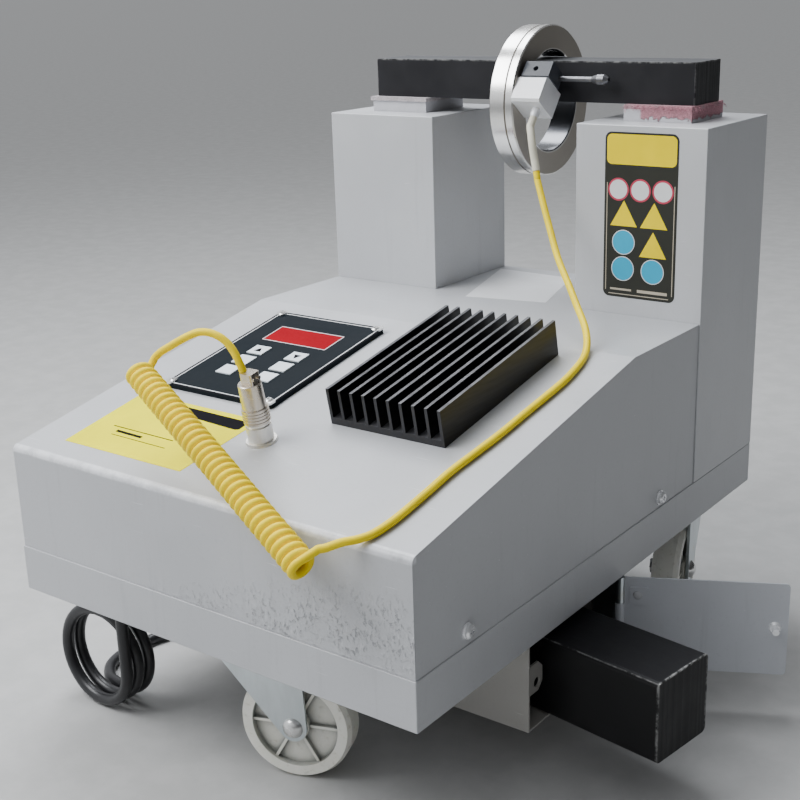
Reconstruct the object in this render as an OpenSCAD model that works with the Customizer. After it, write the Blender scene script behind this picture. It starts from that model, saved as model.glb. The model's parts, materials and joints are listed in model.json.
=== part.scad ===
// Bearing heater on three casters, with its crossbar, probe, spare yoke and leads.
// Lengths in millimetres. X runs to the right, Y to the back, Z up.

/* [Housing] */
// width over the tray
body_w = 350; // [300:1:420]
// depth over the tray
body_d = 477.3; // [420:0.1:560]
// height of the tray's walls
tray_h = 33.5; // [25:0.5:45]
// thickness of the folded sheet
sheet_t = 1.5; // [1:0.1:2.5]
// height of the front edge of the deck over the tray's underside
front_h = 109.4; // [90:0.1:130]
// height of the flat part of the deck
deck_h = 160.4; // [140:0.1:190]
// distance from the front to where the slope ends
knee_y = 263.7; // [230:0.1:300]
// radius of the front edge of the deck
edge_r = 4.5; // [2:0.5:8]
// how far the cover stands in from the tray's walls
cover_inset = 1; // [0.5:0.1:1.2]
// gap between neighbouring sheet pieces
sheet_gap = 0.4; // [0.3:0.1:1]
// width of a pillar
pillar_w = 107.4; // [95:0.1:120]
// depth of a pillar
pillar_d = 110; // [95:0.1:120]
// height of the pillars' tops
pillar_top = 305; // [260:1:340]
// how far a pillar's inner walls reach below the deck
pillar_skirt = 20; // [10:1:40]

/* [Cover screws] */
// radius of the screw heads
screw_head_r = 4.75; // [3:0.05:6]
// height of the screw heads
screw_head_h = 3; // [2:0.1:4]
// radius of the washers
washer_r = 5.6; // [4:0.1:7]
// thickness of the washers
washer_t = 1; // [0.5:0.1:1.5]
// radius of the screws' shanks
screw_r = 2.5; // [2:0.1:3]
// length of the screws under the head
screw_len = 10; // [8:1:14]
// distance of the front screws from the front
front_screw_y = 53.4; // [40:0.1:80]
// height of the front screws
front_screw_z = 42.9; // [40:0.1:50]
// distance of the rear screws from the front
rear_screw_y = 308.9; // [280:0.1:330]
// height of the rear screws
rear_screw_z = 41.3; // [40:0.1:50]
// width of the tray's tabs behind the screws
tab_w = 20; // [14:1:30]
// height of those tabs over the tray's underside
tab_h = 54; // [50:1:60]

/* [Magnet] */
// side of the square core
core_side = 56; // [45:0.5:62]
// distance from the housing's back to the core's middle
core_back = 54.7; // [45:0.1:60]
// height of the core's underside
core_foot = 14; // [10:1:20]
// how far the legs rise over the pillars
leg_rise = 9; // [5:0.5:15]
// thickness of the pads on the legs
pad_t = 3.2; // [2:0.1:5]
// how far the left pad stands out beyond the leg
pad_lip = 1.6; // [0:0.1:3]
// thickness of a winding
coil_wall = 17; // [12:0.5:20]
// height of a winding
coil_h = 200; // [150:1:210]
// thickness of the bobbin flanges
flange_t = 3; // [2:0.5:5]
// corner radius of the windings
coil_corner = 10; // [4:1:14]
// gap between the core and what surrounds it
core_gap = 0.5; // [0.3:0.1:1]
// thickness of the angle bars
angle_t = 3; // [2:0.5:5]
// width of the angle bars' flanges
angle_w = 20; // [16:1:21]
// height of the angle bars
angle_h = 50; // [40:1:55]

/* [Crossbar and ring] */
// how far the crossbar's ends stand in from the legs' outer sides
bar_inset = 0.55; // [0:0.05:5]
// depth of the crossbar
bar_d = 43.75; // [35:0.25:50]
// height of the crossbar
bar_h = 31.5; // [25:0.5:40]
// outer radius of the bearing ring
ring_r = 60; // [45:0.5:80]
// bore radius of the bearing ring
bore_r = 40; // [32:0.5:50]
// width of the bearing ring
ring_w = 22; // [16:0.5:30]
// distance of the ring's right face to the right of the housing's middle
ring_off = 13; // [-20:1:25]
// gap between the ring's bore and the edges that it hangs on
ring_gap = 0.3; // [0.2:0.05:0.5]
// depth of the groove round the rim
groove_d = 1.2; // [0.5:0.1:2]
// width of the groove round the rim
groove_w = 1.6; // [1:0.1:3]
// depth of the recess in the side faces
recess_d = 0.8; // [0.4:0.1:2]
// breadth of the raised lands beside the recess
land_b = 4.6; // [3:0.1:7]
// chamfer of the ring's edges
ring_chamfer = 1; // [0.5:0.1:2]

/* [Probe] */
// length of the probe block
probe_len = 25.4; // [18:0.1:35]
// depth of the probe block
probe_d = 26; // [18:0.5:32]
// height of the probe block
probe_h = 22; // [16:0.5:28]
// tilt of the probe block
probe_tilt = 37; // [20:1:50]
// height of the black magnet body
holder_h = 13; // [8:0.5:16]
// depth of the black magnet body
holder_d = 19; // [12:0.5:24]
// radius of the probe's pin
pin_r = 2; // [1.5:0.1:3]
// length of the probe's pin
pin_len = 29; // [20:1:40]
// radius of the mushroom knob
knob_r = 4; // [3:0.1:6]
// length of the mushroom knob
knob_len = 14; // [8:0.5:18]
// radius of the probe's cable gland
probe_gland_r = 3.6; // [3:0.1:5]
// length of the probe's cable gland
probe_gland_len = 7; // [6:0.5:14]

/* [Control panel] */
// width of the panel
panel_w = 105; // [90:0.5:120]
// length of the panel up the slope
panel_l = 134.8; // [120:0.1:150]
// thickness of the panel
panel_t = 3.5; // [2:0.1:5]
// distance of the panel from the left side
panel_x = 42.9; // [35:0.1:60]
// distance of the panel from the front edge, up the slope
panel_s = 112; // [100:0.5:120]
// corner radius of the panel
panel_r = 3; // [1:0.5:5]
// width of the display window
window_w = 61.7; // [50:0.1:70]
// height of the display window
window_l = 23.2; // [18:0.1:28]
// distance of the window from the panel's upper edge
window_down = 24.1; // [20:0.1:35]
// clearance round the window and the keys
key_gap = 0.25; // [0.2:0.05:0.4]
// width of a key
key_w = 14.8; // [12:0.1:18]
// length of a key
key_l = 13; // [10:0.1:14]
// pitch of the key rows
key_pitch = 17.5; // [16.5:0.05:20]
// distance between the two key columns
key_span = 37.6; // [30:0.1:45]
// how far the keys stand over the panel
key_rise = 0.7; // [0.5:0.1:2]
// travel of a key
key_travel = 0.5; // [0.3:0.1:1]
// width of the keys' retaining lips
key_lip = 1.2; // [1:0.1:2]
// thickness of the keys' retaining lips
key_lip_t = 1; // [0.8:0.1:1.5]
// radius of the keys' plungers
plunger_r = 2; // [1:0.1:3]
// distance of the board below the deck
board_drop = 14; // [10:0.5:20]
// thickness of the board
board_t = 1.6; // [1:0.1:2]
// inset of the panel screws from the panel's edges
panel_screw_in = 5; // [4:0.5:8]
// head radius of the panel screws
panel_screw_head = 3; // [2:0.1:4]
// shank radius of the panel screws
panel_screw_r = 1.5; // [1:0.1:2]

/* [Heat sink] */
// width of the heat sink
sink_w = 92.8; // [70:0.1:110]
// length of the heat sink up the slope
sink_l = 143.5; // [120:0.5:150]
// height of the heat sink
sink_h = 26.3; // [18:0.1:35]
// thickness of the heat sink's base
sink_base = 5; // [3:0.5:8]
// number of fins
fin_count = 10; // [7:1:14]
// thickness of a fin
fin_t = 2.3; // [1.5:0.1:3]
// distance of the heat sink from the left side
sink_x = 203; // [195:0.5:220]
// distance of the heat sink from the front edge, up the slope
sink_s = 112; // [100:0.5:120]

/* [Sensor connector] */
// distance of the connector from the left side
conn_x = 172.5; // [160:0.5:190]
// distance of the connector from the front edge, up the slope
conn_s = 74.8; // [60:0.1:100]
// radius of the socket's body
socket_r = 9.2; // [7:0.1:12]
// radius of the socket's flange
socket_flange_r = 11; // [9:0.1:14]
// thickness of the socket's flange
socket_flange_t = 1.8; // [1:0.1:3]
// height of the socket over the deck
socket_h = 15; // [10:0.5:20]
// height of the plug's ring nut
nut_h = 11; // [8:0.5:14]
// height of the plug's tapered shell
shell_h = 17.5; // [12:0.5:22]
// top radius of the tapered shell
shell_top_r = 8; // [6:0.1:9]
// distance of the cable's outlet from the plug's middle
cable_off = 3.5; // [0:0.1:4]
// length of the plug's clamp along the plug
clamp_h = 8; // [6:0.5:12]
// width of the plug's clamp
clamp_w = 9; // [7:0.1:11]

/* [Storage] */
// distance of the box's closed end from the left side
box_x = 34; // [20:1:60]
// distance of the box's open end from the left side
mouth_x = 344.2; // [330:0.1:349]
// distance of the box's front wall from the front
box_y = 131.5; // [125:0.5:140]
// distance of the box's rear wall from the front
box_back_y = 262; // [255:0.5:275]
// depth of the box under the tray
box_drop = 69; // [60:0.5:75]
// width of the box's mounting flanges
box_flange = 12; // [8:1:20]
// length of the door
door_len = 119.5; // [115:0.1:124]
// height of the door
door_h = 72; // [66:0.5:80]
// gap between the door and the tray
door_top_gap = 3; // [1:0.1:5]
// angle of the open door from the sideways direction
door_angle = 27.1; // [0:0.1:60]
// distance of the hinge pin beyond the box's open end
hinge_out = 1.3; // [1.1:0.1:4]
// distance of the hinge pin from the box's rear wall
hinge_in = 6.5; // [5:0.1:9]
// radius of the hinge knuckles
knuckle_r = 3.4; // [2.5:0.1:4]
// radius of the hinge pin
hinge_pin_r = 1.5; // [1:0.1:2]
// running gap of the hinge pin
hinge_gap = 0.08; // [0.02:0.01:0.1]
// gap between hinge knuckles
knuckle_gap = 0.4; // [0.3:0.1:1]
// distance of the door's screw from its free end
door_screw_in = 9.2; // [7:0.1:14]
// depth of the door's screw under the tray
door_screw_z = 37.5; // [30:0.5:45]
// side clearance between the door's screw and its hole in the lug
lug_gap = 0.9; // [0.6:0.1:1.5]
// width of the spare yoke
yoke_w = 56; // [50:0.5:60]
// height of the spare yoke
yoke_h = 58; // [50:0.5:60]
// length of the spare yoke
yoke_len = 298; // [280:0.5:305]
// skew of the spare yoke in its box
yoke_skew = 8.6; // [0:0.1:9]
// distance of the drawn-out end's middle beyond the housing's right side
yoke_out = 85.9; // [60:0.1:110]
// distance of that middle from the front
yoke_y = 170; // [165:0.5:175]
// corner radius of the spare yoke
yoke_r = 4; // [1:0.5:6]

/* [Casters] */
// radius of a wheel
wheel_r = 40; // [30:0.5:50]
// width of a wheel
wheel_w = 22; // [16:0.5:30]
// height of a caster
caster_h = 106; // [85:0.5:130]
// distance of the axle behind the swivel pin
trail = 34; // [20:0.5:45]
// side of the square caster plate
plate_side = 56; // [50:1:66]
// thickness of the caster plate
plate_t = 2.5; // [2:0.1:4]
// radius of the swivel race
race_r = 20; // [15:0.5:24]
// height of the swivel race
race_h = 6; // [4:0.5:8]
// radius of the swivel pin
king_r = 5; // [4:0.1:7]
// radius of the fork's crown
crown_r = 24; // [20:0.5:27]
// thickness of the fork's sheet
fork_t = 2.4; // [1.8:0.1:4]
// gap between a wheel and its fork
wheel_gap = 1; // [0.6:0.1:2]
// radius of the fork's rounded end
leg_r = 10; // [8:0.5:14]
// radius of an axle
axle_r = 4; // [3:0.1:6]
// running gap of wheels and swivels
run_gap = 0.06; // [0.02:0.01:0.1]
// head radius of an axle bolt
axle_head_r = 7.5; // [6:0.1:9]
// head height of an axle bolt
axle_head_h = 4.5; // [3:0.1:6]
// shank radius of the caster bolts
bolt_r = 3; // [2.5:0.1:4]
// inset of the caster bolts from the plate's edges
bolt_in = 7; // [6:0.5:9]

/* [Leads] */
// radius of the mains lead
lead_r = 4.5; // [3.5:0.1:6]
// radius of the hanging loops of the mains lead
loop_r = 36; // [34:0.5:45]
// number of hanging loops
loop_count = 2; // [1:1:4]
// middle radius of the mains lead's floor coil
floor_coil_r = 48; // [45:0.5:54]
// radius of the probe cable
wire_r = 2.6; // [2:0.1:3]
// middle radius of the curly part
curl_r = 7.15; // [6:0.05:10]
// whole curls of the curly part
curl_count = 34; // [20:1:60]
// radius of the pale sleeve
sleeve_r = 3; // [2.6:0.1:4]
// gap between a lead and what it lies on
lie_gap = 0.4; // [0.3:0.1:1]

/* [Hidden] */
$fn = 48;

// overrun of every cut
over = 1;

// places that several pieces share
slope = atan2(deck_h - front_h, knee_y);
pillar_y = body_d - pillar_d;
core_y = body_d - core_back;
leg_x_share = 0.5;
left_leg_x = pillar_w * leg_x_share;
right_leg_x = body_w - left_leg_x;
leg_top = pillar_top + leg_rise;
bar_z = leg_top + pad_t;
bar_top = bar_z + bar_h;
ring_z = bar_top - sqrt(bore_r * bore_r - bar_d * bar_d / 4) + ring_gap;
ring_x = body_w / 2 + ring_off;
hinge_x = mouth_x + hinge_out;
hinge_y = box_back_y - hinge_in;
door_tip_x = hinge_x + door_len * cos(door_angle) + sheet_t / 2 * sin(door_angle);
screw_out = washer_t + screw_head_h;
origin_x = (door_tip_x + cover_inset - screw_out) / 2;
origin_y = body_d / 2;
fork_y = wheel_w / 2 + wheel_gap;
axle_z = wheel_r - caster_h;
gland_h = 15;

// caster places: swivel pin and the way that the wheel trails
front_inset = 46;
front_pivot = [body_w / 2, front_inset, 0];
rear_inset = 45;
rear_back = 28.5;
rear_right_pivot = [body_w - rear_inset, body_d - rear_back, 0];
rear_left_pivot = [rear_inset, body_d - rear_back, 0];
front_angle = 19.4;
rear_right_angle = -76.3;
rear_left_angle = -107;

module placed() {
    translate([-origin_x, -origin_y, caster_h])
        children();
}

module block(lo, hi) {
    translate(lo)
        cube(hi - lo);
}

// box with rounded upright edges, true cylinders at the corners
module soft_block(lo, hi, r) {
    size = hi - lo;
    translate(lo)
        linear_extrude(height = size[2])
            rounded(size[0], size[1], r);
}

module rounded(w, l, r) {
    translate([r, 0])
        square([w - 2 * r, l]);
    translate([0, r])
        square([w, l - 2 * r]);
    for (x = [r, w - r], y = [r, l - r])
        translate([x, y])
            circle(r = r);
}

module rod(a, b, r, end_r) {
    v = b - a;
    long = norm(v);
    translate(a)
        rotate([0, acos(v[2] / long), atan2(v[1], v[0])])
            cylinder(h = long, r1 = r, r2 = end_r);
}

// children drawn on the sloping deck: x across, y up the slope, z out of it
module on_slope() {
    translate([0, 0, front_h])
        rotate([slope, 0, 0])
            children();
}

function slope_point(x, s, n) =
    [x, s * cos(slope) - n * sin(slope), front_h + s * sin(slope) + n * cos(slope)];

// side view of the cover, moved in by t from its outside
module cover_outline(t) {
    y0 = cover_inset + t;
    r = max(edge_r - t, edge_r / 4);
    lift = t / cos(slope);
    zc = front_h + (y0 + r) * tan(slope) - lift - r / cos(slope);
    flat_z = deck_h - t;
    flat_y = (flat_z - front_h + lift) / tan(slope);
    polygon([
        [y0, tray_h - (t > 0 ? over : 0)],
        [body_d + (t > 0 ? over : 0), tray_h - (t > 0 ? over : 0)],
        [body_d + (t > 0 ? over : 0), flat_z],
        [flat_y, flat_z],
        [y0 + r - r * sin(slope), zc + r * cos(slope)],
        [y0 + r, zc],
        [y0, zc]
    ]);
    translate([y0 + r, zc])
        circle(r = r);
}

module across(w) {
    rotate([90, 0, 90])
        linear_extrude(height = w)
            children();
}

// housing

module side_screw_places() {
    for (p = [[front_screw_y, front_screw_z], [rear_screw_y, rear_screw_z]]) {
        translate([cover_inset, p[0], p[1]])
            rotate([0, -90, 0])
                children();
        translate([body_w - cover_inset, p[0], p[1]])
            rotate([0, 90, 0])
                children();
    }
}

module caster_places() {
    for (p = [front_pivot, rear_right_pivot, rear_left_pivot])
        translate(p)
            children();
}

module caster_bolt_places() {
    o = plate_side / 2 - bolt_in;
    for (x = [-o, o], y = [-o, o])
        translate([x, y, 0])
            children();
}

module base_tray() {
    color([0.72, 0.73, 0.74])
        placed()
            difference() {
                union() {
                    difference() {
                        block([0, 0, 0], [body_w, body_d, tray_h]);
                        block([sheet_t, sheet_t, sheet_t],
                            [body_w - sheet_t, body_d - sheet_t, tray_h + over]);
                    }
                    block([pillar_w + sheet_gap, body_d - sheet_t, sheet_t],
                        [body_w - pillar_w - sheet_gap, body_d, deck_h - sheet_t]);
                    for (s = [[front_screw_y, 0], [rear_screw_y, 0]], side = [0, 1])
                        screw_tab(s[0], side);
                }
                caster_places()
                    caster_bolt_places()
                        translate([0, 0, -over])
                            cylinder(h = sheet_t + 2 * over, r = bolt_r + sheet_gap / 2);
                translate([gland_x, gland_y, -over])
                    cylinder(h = sheet_t + 2 * over, r = lead_r + 2 * sheet_t);
                side_screw_places()
                    translate([0, 0, -screw_len])
                        cylinder(h = screw_len + over, r = screw_r + run_gap);
            }
}

module screw_tab(y, side) {
    t0 = cover_inset + sheet_t + sheet_gap;
    x0 = side == 0 ? t0 : body_w - t0 - sheet_t;
    block([x0, y - tab_w / 2, sheet_t], [x0 + sheet_t, y + tab_w / 2, tab_h]);
}

module pillar(x0, outer_x) {
    core_hole = core_side / 2 + core_gap;
    cx = x0 + pillar_w / 2;
    inner_x = outer_x == x0 ? x0 + sheet_t : x0 - over;
    difference() {
        block([x0, pillar_y, tray_h], [x0 + pillar_w, body_d, pillar_top]);
        block([x0 + sheet_t, pillar_y + sheet_t, tray_h - over],
            [x0 + pillar_w - sheet_t, body_d - sheet_t, pillar_top - sheet_t]);
        block([x0 - (outer_x == x0 ? -sheet_t : over), pillar_y - over, tray_h - over],
            [x0 + pillar_w + (outer_x == x0 ? over : -sheet_t), body_d - sheet_t, deck_h - pillar_skirt]);
        block([cx - core_hole, core_y - core_hole, pillar_top - sheet_t - over],
            [cx + core_hole, core_y + core_hole, pillar_top + over]);
    }
}

module left_pillar() {
    color([0.72, 0.73, 0.74])
        placed()
            pillar(0, 0);
}

module right_pillar() {
    color([0.72, 0.73, 0.74])
        placed()
            pillar(body_w - pillar_w, body_w);
}

// opening in the deck under the control panel
module panel_opening(t) {
    in = 2 * panel_screw_in;
    translate([panel_x + in, panel_s + in, -t])
        cube([panel_w - 2 * in, panel_l - 2 * in, 2 * t]);
}

module deck_cover() {
    color([0.74, 0.75, 0.76])
        placed()
            difference() {
                translate([cover_inset, 0, 0])
                    across(body_w - 2 * cover_inset)
                        cover_outline(0);
                translate([cover_inset + sheet_t, 0, 0])
                    across(body_w - 2 * cover_inset - 2 * sheet_t)
                        cover_outline(sheet_t);
                for (x0 = [-over, body_w - pillar_w - sheet_gap])
                    block([x0, pillar_y - sheet_gap, tray_h - over],
                        [x0 + pillar_w + sheet_gap + over, body_d + over, deck_h + over]);
                on_slope() {
                    panel_opening(2 * sheet_t);
                    panel_screw_places()
                        translate([0, 0, -2 * sheet_t])
                            cylinder(h = 3 * sheet_t, r = panel_screw_r + run_gap);
                    translate([conn_x, conn_s, -2 * sheet_t])
                        cylinder(h = 3 * sheet_t, r = socket_r - sheet_t + run_gap);
                }
                side_screw_places()
                    translate([0, 0, -screw_len])
                        cylinder(h = screw_len + over, r = screw_r + run_gap);
            }
}

module cover_screws() {
    color([0.80, 0.80, 0.80])
        placed()
            side_screw_places() {
                cylinder(h = washer_t, r = washer_r);
                translate([0, 0, washer_t])
                    pan_head(screw_head_r, screw_head_h);
                translate([0, 0, washer_t - screw_len])
                    cylinder(h = screw_len, r = screw_r);
            }
}

// pan head with a cross recess
module pan_head(r, h) {
    slot_l = r;
    slot_w = r / 5;
    difference() {
        union() {
            cylinder(h = h * 0.6, r = r);
            translate([0, 0, h * 0.6])
                cylinder(h = h * 0.4, r1 = r, r2 = r * 0.7);
        }
        for (a = [0, 90])
            rotate([0, 0, a])
                translate([-slot_l / 2, -slot_w / 2, h / 2])
                    cube([slot_l, slot_w, h]);
    }
}

// magnet circuit
module magnet_core() {
    color([0.70, 0.71, 0.72])
        placed() {
            half = core_side / 2;
            for (x = [left_leg_x, right_leg_x])
                block([x - half, core_y - half, core_foot], [x + half, core_y + half, leg_top]);
            block([left_leg_x, core_y - half, core_foot],
                [right_leg_x, core_y + half, core_foot + core_side]);
        }
}

module winding(cx) {
    hole = core_side / 2 + core_gap;
    half = hole + coil_wall;
    z0 = leg_top - coil_h - 2 * flange_t - pillar_skirt;
    difference() {
        union() {
            soft_block([cx - half, core_y - half, z0], [cx + half, core_y + half, z0 + coil_h],
                coil_corner);
            for (z = [z0 - flange_t, z0 + coil_h])
                block([cx - half - core_gap, core_y - half - core_gap, z],
                    [cx + half + core_gap, core_y + half + core_gap, z + flange_t]);
        }
        block([cx - hole, core_y - hole, z0 - flange_t - over],
            [cx + hole, core_y + hole, z0 + coil_h + flange_t + over]);
    }
}

module left_coil() {
    color([0.45, 0.28, 0.12])
        placed()
            winding(left_leg_x);
}

module right_coil() {
    color([0.45, 0.28, 0.12])
        placed()
            winding(right_leg_x);
}

module core_clamps() {
    half = core_side / 2;
    x0 = pillar_w;
    x1 = body_w - pillar_w;
    color([0.30, 0.30, 0.32])
        placed()
            union() {
                for (side = [-1, 1]) {
                    y0 = core_y + side * half;
                    y1 = y0 + side * angle_t;
                    y2 = y0 + side * angle_w;
                    block([x0, min(y0, y1), sheet_t], [x1, max(y0, y1), angle_h]);
                    block([x0, min(y0, y2), sheet_t], [x1, max(y0, y2), sheet_t + angle_t]);
                }
                for (x = [x0 + angle_w, x1 - 2 * angle_w])
                    block([x, core_y - half - angle_t, sheet_t],
                        [x + angle_w, core_y + half + angle_t, core_foot]);
                for (x = [x0 + angle_w, x1 - angle_w], side = [-1, 1])
                    rod([x, core_y + side * (half + angle_t), core_foot + core_side / 2],
                        [x, core_y + side * (half + 2 * angle_t), core_foot + core_side / 2],
                        2 * angle_t, 2 * angle_t);
            }
}

module pad(cx, lip) {
    half = core_side / 2 + lip;
    block([cx - half, core_y - half, leg_top], [cx + half, core_y + half, bar_z]);
}

module left_pad() {
    color([0.78, 0.74, 0.74])
        placed()
            pad(left_leg_x, pad_lip);
}

module right_pad() {
    color([0.80, 0.62, 0.64])
        placed()
            pad(right_leg_x, 0);
}

module crossbar() {
    color([0.10, 0.10, 0.11])
        placed()
            block([left_leg_x - core_side / 2 + bar_inset, core_y - bar_d / 2, bar_z],
                [right_leg_x + core_side / 2 - bar_inset, core_y + bar_d / 2, bar_top]);
}

module bearing_ring() {
    c = ring_chamfer;
    mid = bore_r + (ring_r - bore_r) / 2;
    g0 = ring_w * 0.62;
    color([0.82, 0.82, 0.83])
        placed()
            translate([ring_x - ring_w, core_y, ring_z])
                rotate([0, 90, 0])
                    rotate_extrude()
                        polygon([
                            [bore_r, c], [bore_r + c, 0], [bore_r + land_b, 0],
                            [bore_r + land_b + c, recess_d], [ring_r - land_b - c, recess_d],
                            [ring_r - land_b, 0], [ring_r - c, 0], [ring_r, c],
                            [ring_r, g0], [ring_r - groove_d, g0],
                            [ring_r - groove_d, g0 + groove_w], [ring_r, g0 + groove_w],
                            [ring_r, ring_w - c], [ring_r - c, ring_w], [bore_r + c, ring_w],
                            [bore_r, ring_w - c]
                        ]);
}

// probe: drawn in the tilted frame of its block, x away from the ring
module at_probe() {
    translate([ring_x, probe_y, probe_z])
        rotate([-probe_tilt, 0, 0])
            children();
}

module probe_block() {
    c = probe_h / 12;
    color([0.85, 0.85, 0.85])
        placed()
            at_probe()
                difference() {
                    rotate([90, 0, 90])
                        linear_extrude(height = probe_len)
                            polygon([
                                [-probe_d / 2, -probe_h / 2 + c], [-probe_d / 2 + c, -probe_h / 2],
                                [probe_d / 2, -probe_h / 2], [probe_d / 2, probe_h / 2],
                                [-probe_d / 2 + c, probe_h / 2], [-probe_d / 2, probe_h / 2 - c]
                            ]);
                    translate([probe_len / 2 + gland_shift, probe_gland_d, -probe_h / 2 - over])
                        cylinder(h = 3 * over, r = probe_gland_r - over);
                }
}

module probe_magnet() {
    bolt = holder_h / 6;
    color([0.13, 0.14, 0.16])
        placed()
            at_probe()
                difference() {
                    translate([over * 2, -probe_d / 2, probe_h / 2])
                        cube([probe_len - over, holder_d, holder_h]);
                    translate([holder_h, -probe_d / 2 - over, probe_h / 2 + holder_h / 2])
                        rotate([-90, 0, 0])
                            cylinder(h = holder_d / 2, r = bolt);
                }
}

module probe_lever() {
    x0 = probe_len + over;
    color([0.78, 0.78, 0.78])
        placed()
            at_probe()
                translate([x0, pin_d, probe_h / 2 + holder_h * 0.6])
                    rotate([0, 90, 0]) {
                        cylinder(h = pin_len, r = pin_r);
                        translate([0, 0, pin_len])
                            cylinder(h = knob_len * 0.35, r1 = pin_r * 1.2, r2 = knob_r);
                        translate([0, 0, pin_len + knob_len * 0.35])
                            cylinder(h = knob_len * 0.4, r = knob_r);
                        translate([0, 0, pin_len + knob_len * 0.75])
                            cylinder(h = knob_len * 0.25, r1 = knob_r, r2 = knob_r * 0.45);
                    }
}

module probe_gland() {
    color([0.80, 0.79, 0.76])
        placed()
            at_probe()
                translate([probe_len / 2 + gland_shift, probe_gland_d, -probe_h / 2 - probe_gland_len])
                    difference() {
                        union() {
                            cylinder(h = probe_gland_len * 0.4, r1 = probe_gland_r * 0.85,
                                r2 = probe_gland_r);
                            translate([0, 0, probe_gland_len * 0.4])
                                cylinder(h = probe_gland_len * 0.6, r = probe_gland_r);
                        }
                        translate([0, 0, -over])
                            cylinder(h = over * 2, r = probe_gland_r / 2);
                    }
}

// controls
module panel_screw_places() {
    e = panel_screw_in;
    for (x = [e, panel_w - e], s = [e, panel_l - e])
        translate([panel_x + x, panel_s + s, 0])
            children();
}

window_x = panel_x + (panel_w - window_w) / 2 + key_gap;
window_s = panel_s + panel_l - window_down - window_l;
key_x = panel_x + panel_w / 2 - key_span / 2;
key_s = window_s - (window_l + key_l) / 2;

// column 0 or 1, row 0 at the top
function key_place(column, row) = [key_x + column * key_span, key_s - row * key_pitch, 0];

module control_panel() {
    color([0.07, 0.08, 0.10])
        placed()
            on_slope()
                difference() {
                    translate([panel_x, panel_s, 0])
                        linear_extrude(height = panel_t)
                            rounded(panel_w, panel_l, panel_r);
                    translate([window_x - key_gap, window_s - key_gap, -over])
                        cube([window_w + 2 * key_gap, window_l + 2 * key_gap, panel_t + 2 * over]);
                    for (c = [0, 1], r = [0, 1, 2])
                        translate(key_place(c, r) - [key_w / 2 + key_gap, key_l / 2 + key_gap, over])
                            cube([key_w + 2 * key_gap, key_l + 2 * key_gap, panel_t + 2 * over]);
                    panel_screw_places()
                        translate([0, 0, -over])
                            cylinder(h = panel_t + 2 * over, r = panel_screw_r + run_gap);
                }
}

module display_window() {
    color([0.70, 0.05, 0.08])
        placed()
            on_slope() {
                translate([window_x, window_s, -key_lip_t])
                    cube([window_w, window_l, panel_t + key_lip_t]);
                translate([window_x - key_lip, window_s - key_lip, -key_lip_t])
                    cube([window_w + 2 * key_lip, window_l + 2 * key_lip, key_lip_t]);
            }
}

module panel_screws() {
    color([0.82, 0.82, 0.82])
        placed()
            on_slope()
                panel_screw_places() {
                    translate([0, 0, panel_t])
                        pan_head(panel_screw_head, panel_screw_head * 0.7);
                    translate([0, 0, -board_drop / 2])
                        cylinder(h = board_drop / 2 + panel_t, r = panel_screw_r);
                }
}

module key(column, row) {
    lip_top = -key_travel / 5;
    plunger_end = board_drop - switch_h - key_travel - key_gap;
    color([0.90, 0.91, 0.92])
        placed()
            on_slope()
                translate(key_place(column, row)) {
                    translate([-key_w / 2, -key_l / 2, lip_top - key_lip_t])
                        cube([key_w, key_l, panel_t + key_rise + key_lip_t - lip_top]);
                    translate([-key_w / 2 - key_lip, -key_l / 2 - key_lip, lip_top - key_lip_t])
                        cube([key_w + 2 * key_lip, key_l + 2 * key_lip, key_lip_t]);
                    translate([0, 0, -plunger_end])
                        cylinder(h = plunger_end + lip_top, r = plunger_r);
                }
}

module raise_key() key(0, 0);
module lower_key() key(1, 0);
module time_key() key(0, 1);
module heat_key() key(1, 1);
module start_key() key(0, 2);
module stop_key() key(1, 2);

switch_h = 5;
switch_w = 6;
chip_w = 12;
chip_h = 3;

module control_board() {
    color([0.10, 0.35, 0.18])
        placed()
            on_slope()
                difference() {
                    union() {
                        translate([panel_x + over, panel_s + over, -board_drop - board_t])
                            cube([panel_w - 2 * over, panel_l - 2 * over, board_t]);
                        for (c = [0, 1], r = [0, 1, 2])
                            translate(key_place(c, r) - [switch_w / 2, switch_w / 2, board_drop])
                                cube([switch_w, switch_w, switch_h]);
                        panel_screw_places()
                            translate([0, 0, -board_drop])
                                cylinder(h = board_drop - sheet_t, r = panel_screw_head);
                        for (i = [0:3])
                            translate([panel_x + chip_w + i * (chip_w + panel_r * 3), panel_s + 2 * chip_w,
                                -board_drop - board_t - chip_h])
                                cube([chip_w, chip_w * 1.5, chip_h]);
                        for (i = [0:2])
                            translate([panel_x + 2 * chip_w + i * 2 * chip_w,
                                panel_s + panel_l - 2 * chip_w,
                                -board_drop - board_t - chip_w])
                                cylinder(h = chip_w, r = chip_w / 3);
                    }
                    panel_screw_places()
                        translate([0, 0, -board_drop / 2 - over])
                            cylinder(h = board_drop / 2 + 2 * over, r = panel_screw_r + run_gap);
                }
}

module display_module() {
    top = -key_lip_t - key_gap;
    color([0.16, 0.15, 0.15])
        placed()
            on_slope()
                difference() {
                    translate([window_x + over, window_s + over, -board_drop])
                        cube([window_w - 2 * over, window_l - 2 * over, board_drop + top]);
                    for (i = [0:3])
                        translate([window_x + window_w * (0.1 + i * 0.21),
                            window_s + window_l * 0.2, top - over / 2])
                            cube([window_w * 0.16, window_l * 0.6, over]);
                }
}

thyristor_w = 38;
thyristor_l = 92;
thyristor_h = 28;

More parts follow.
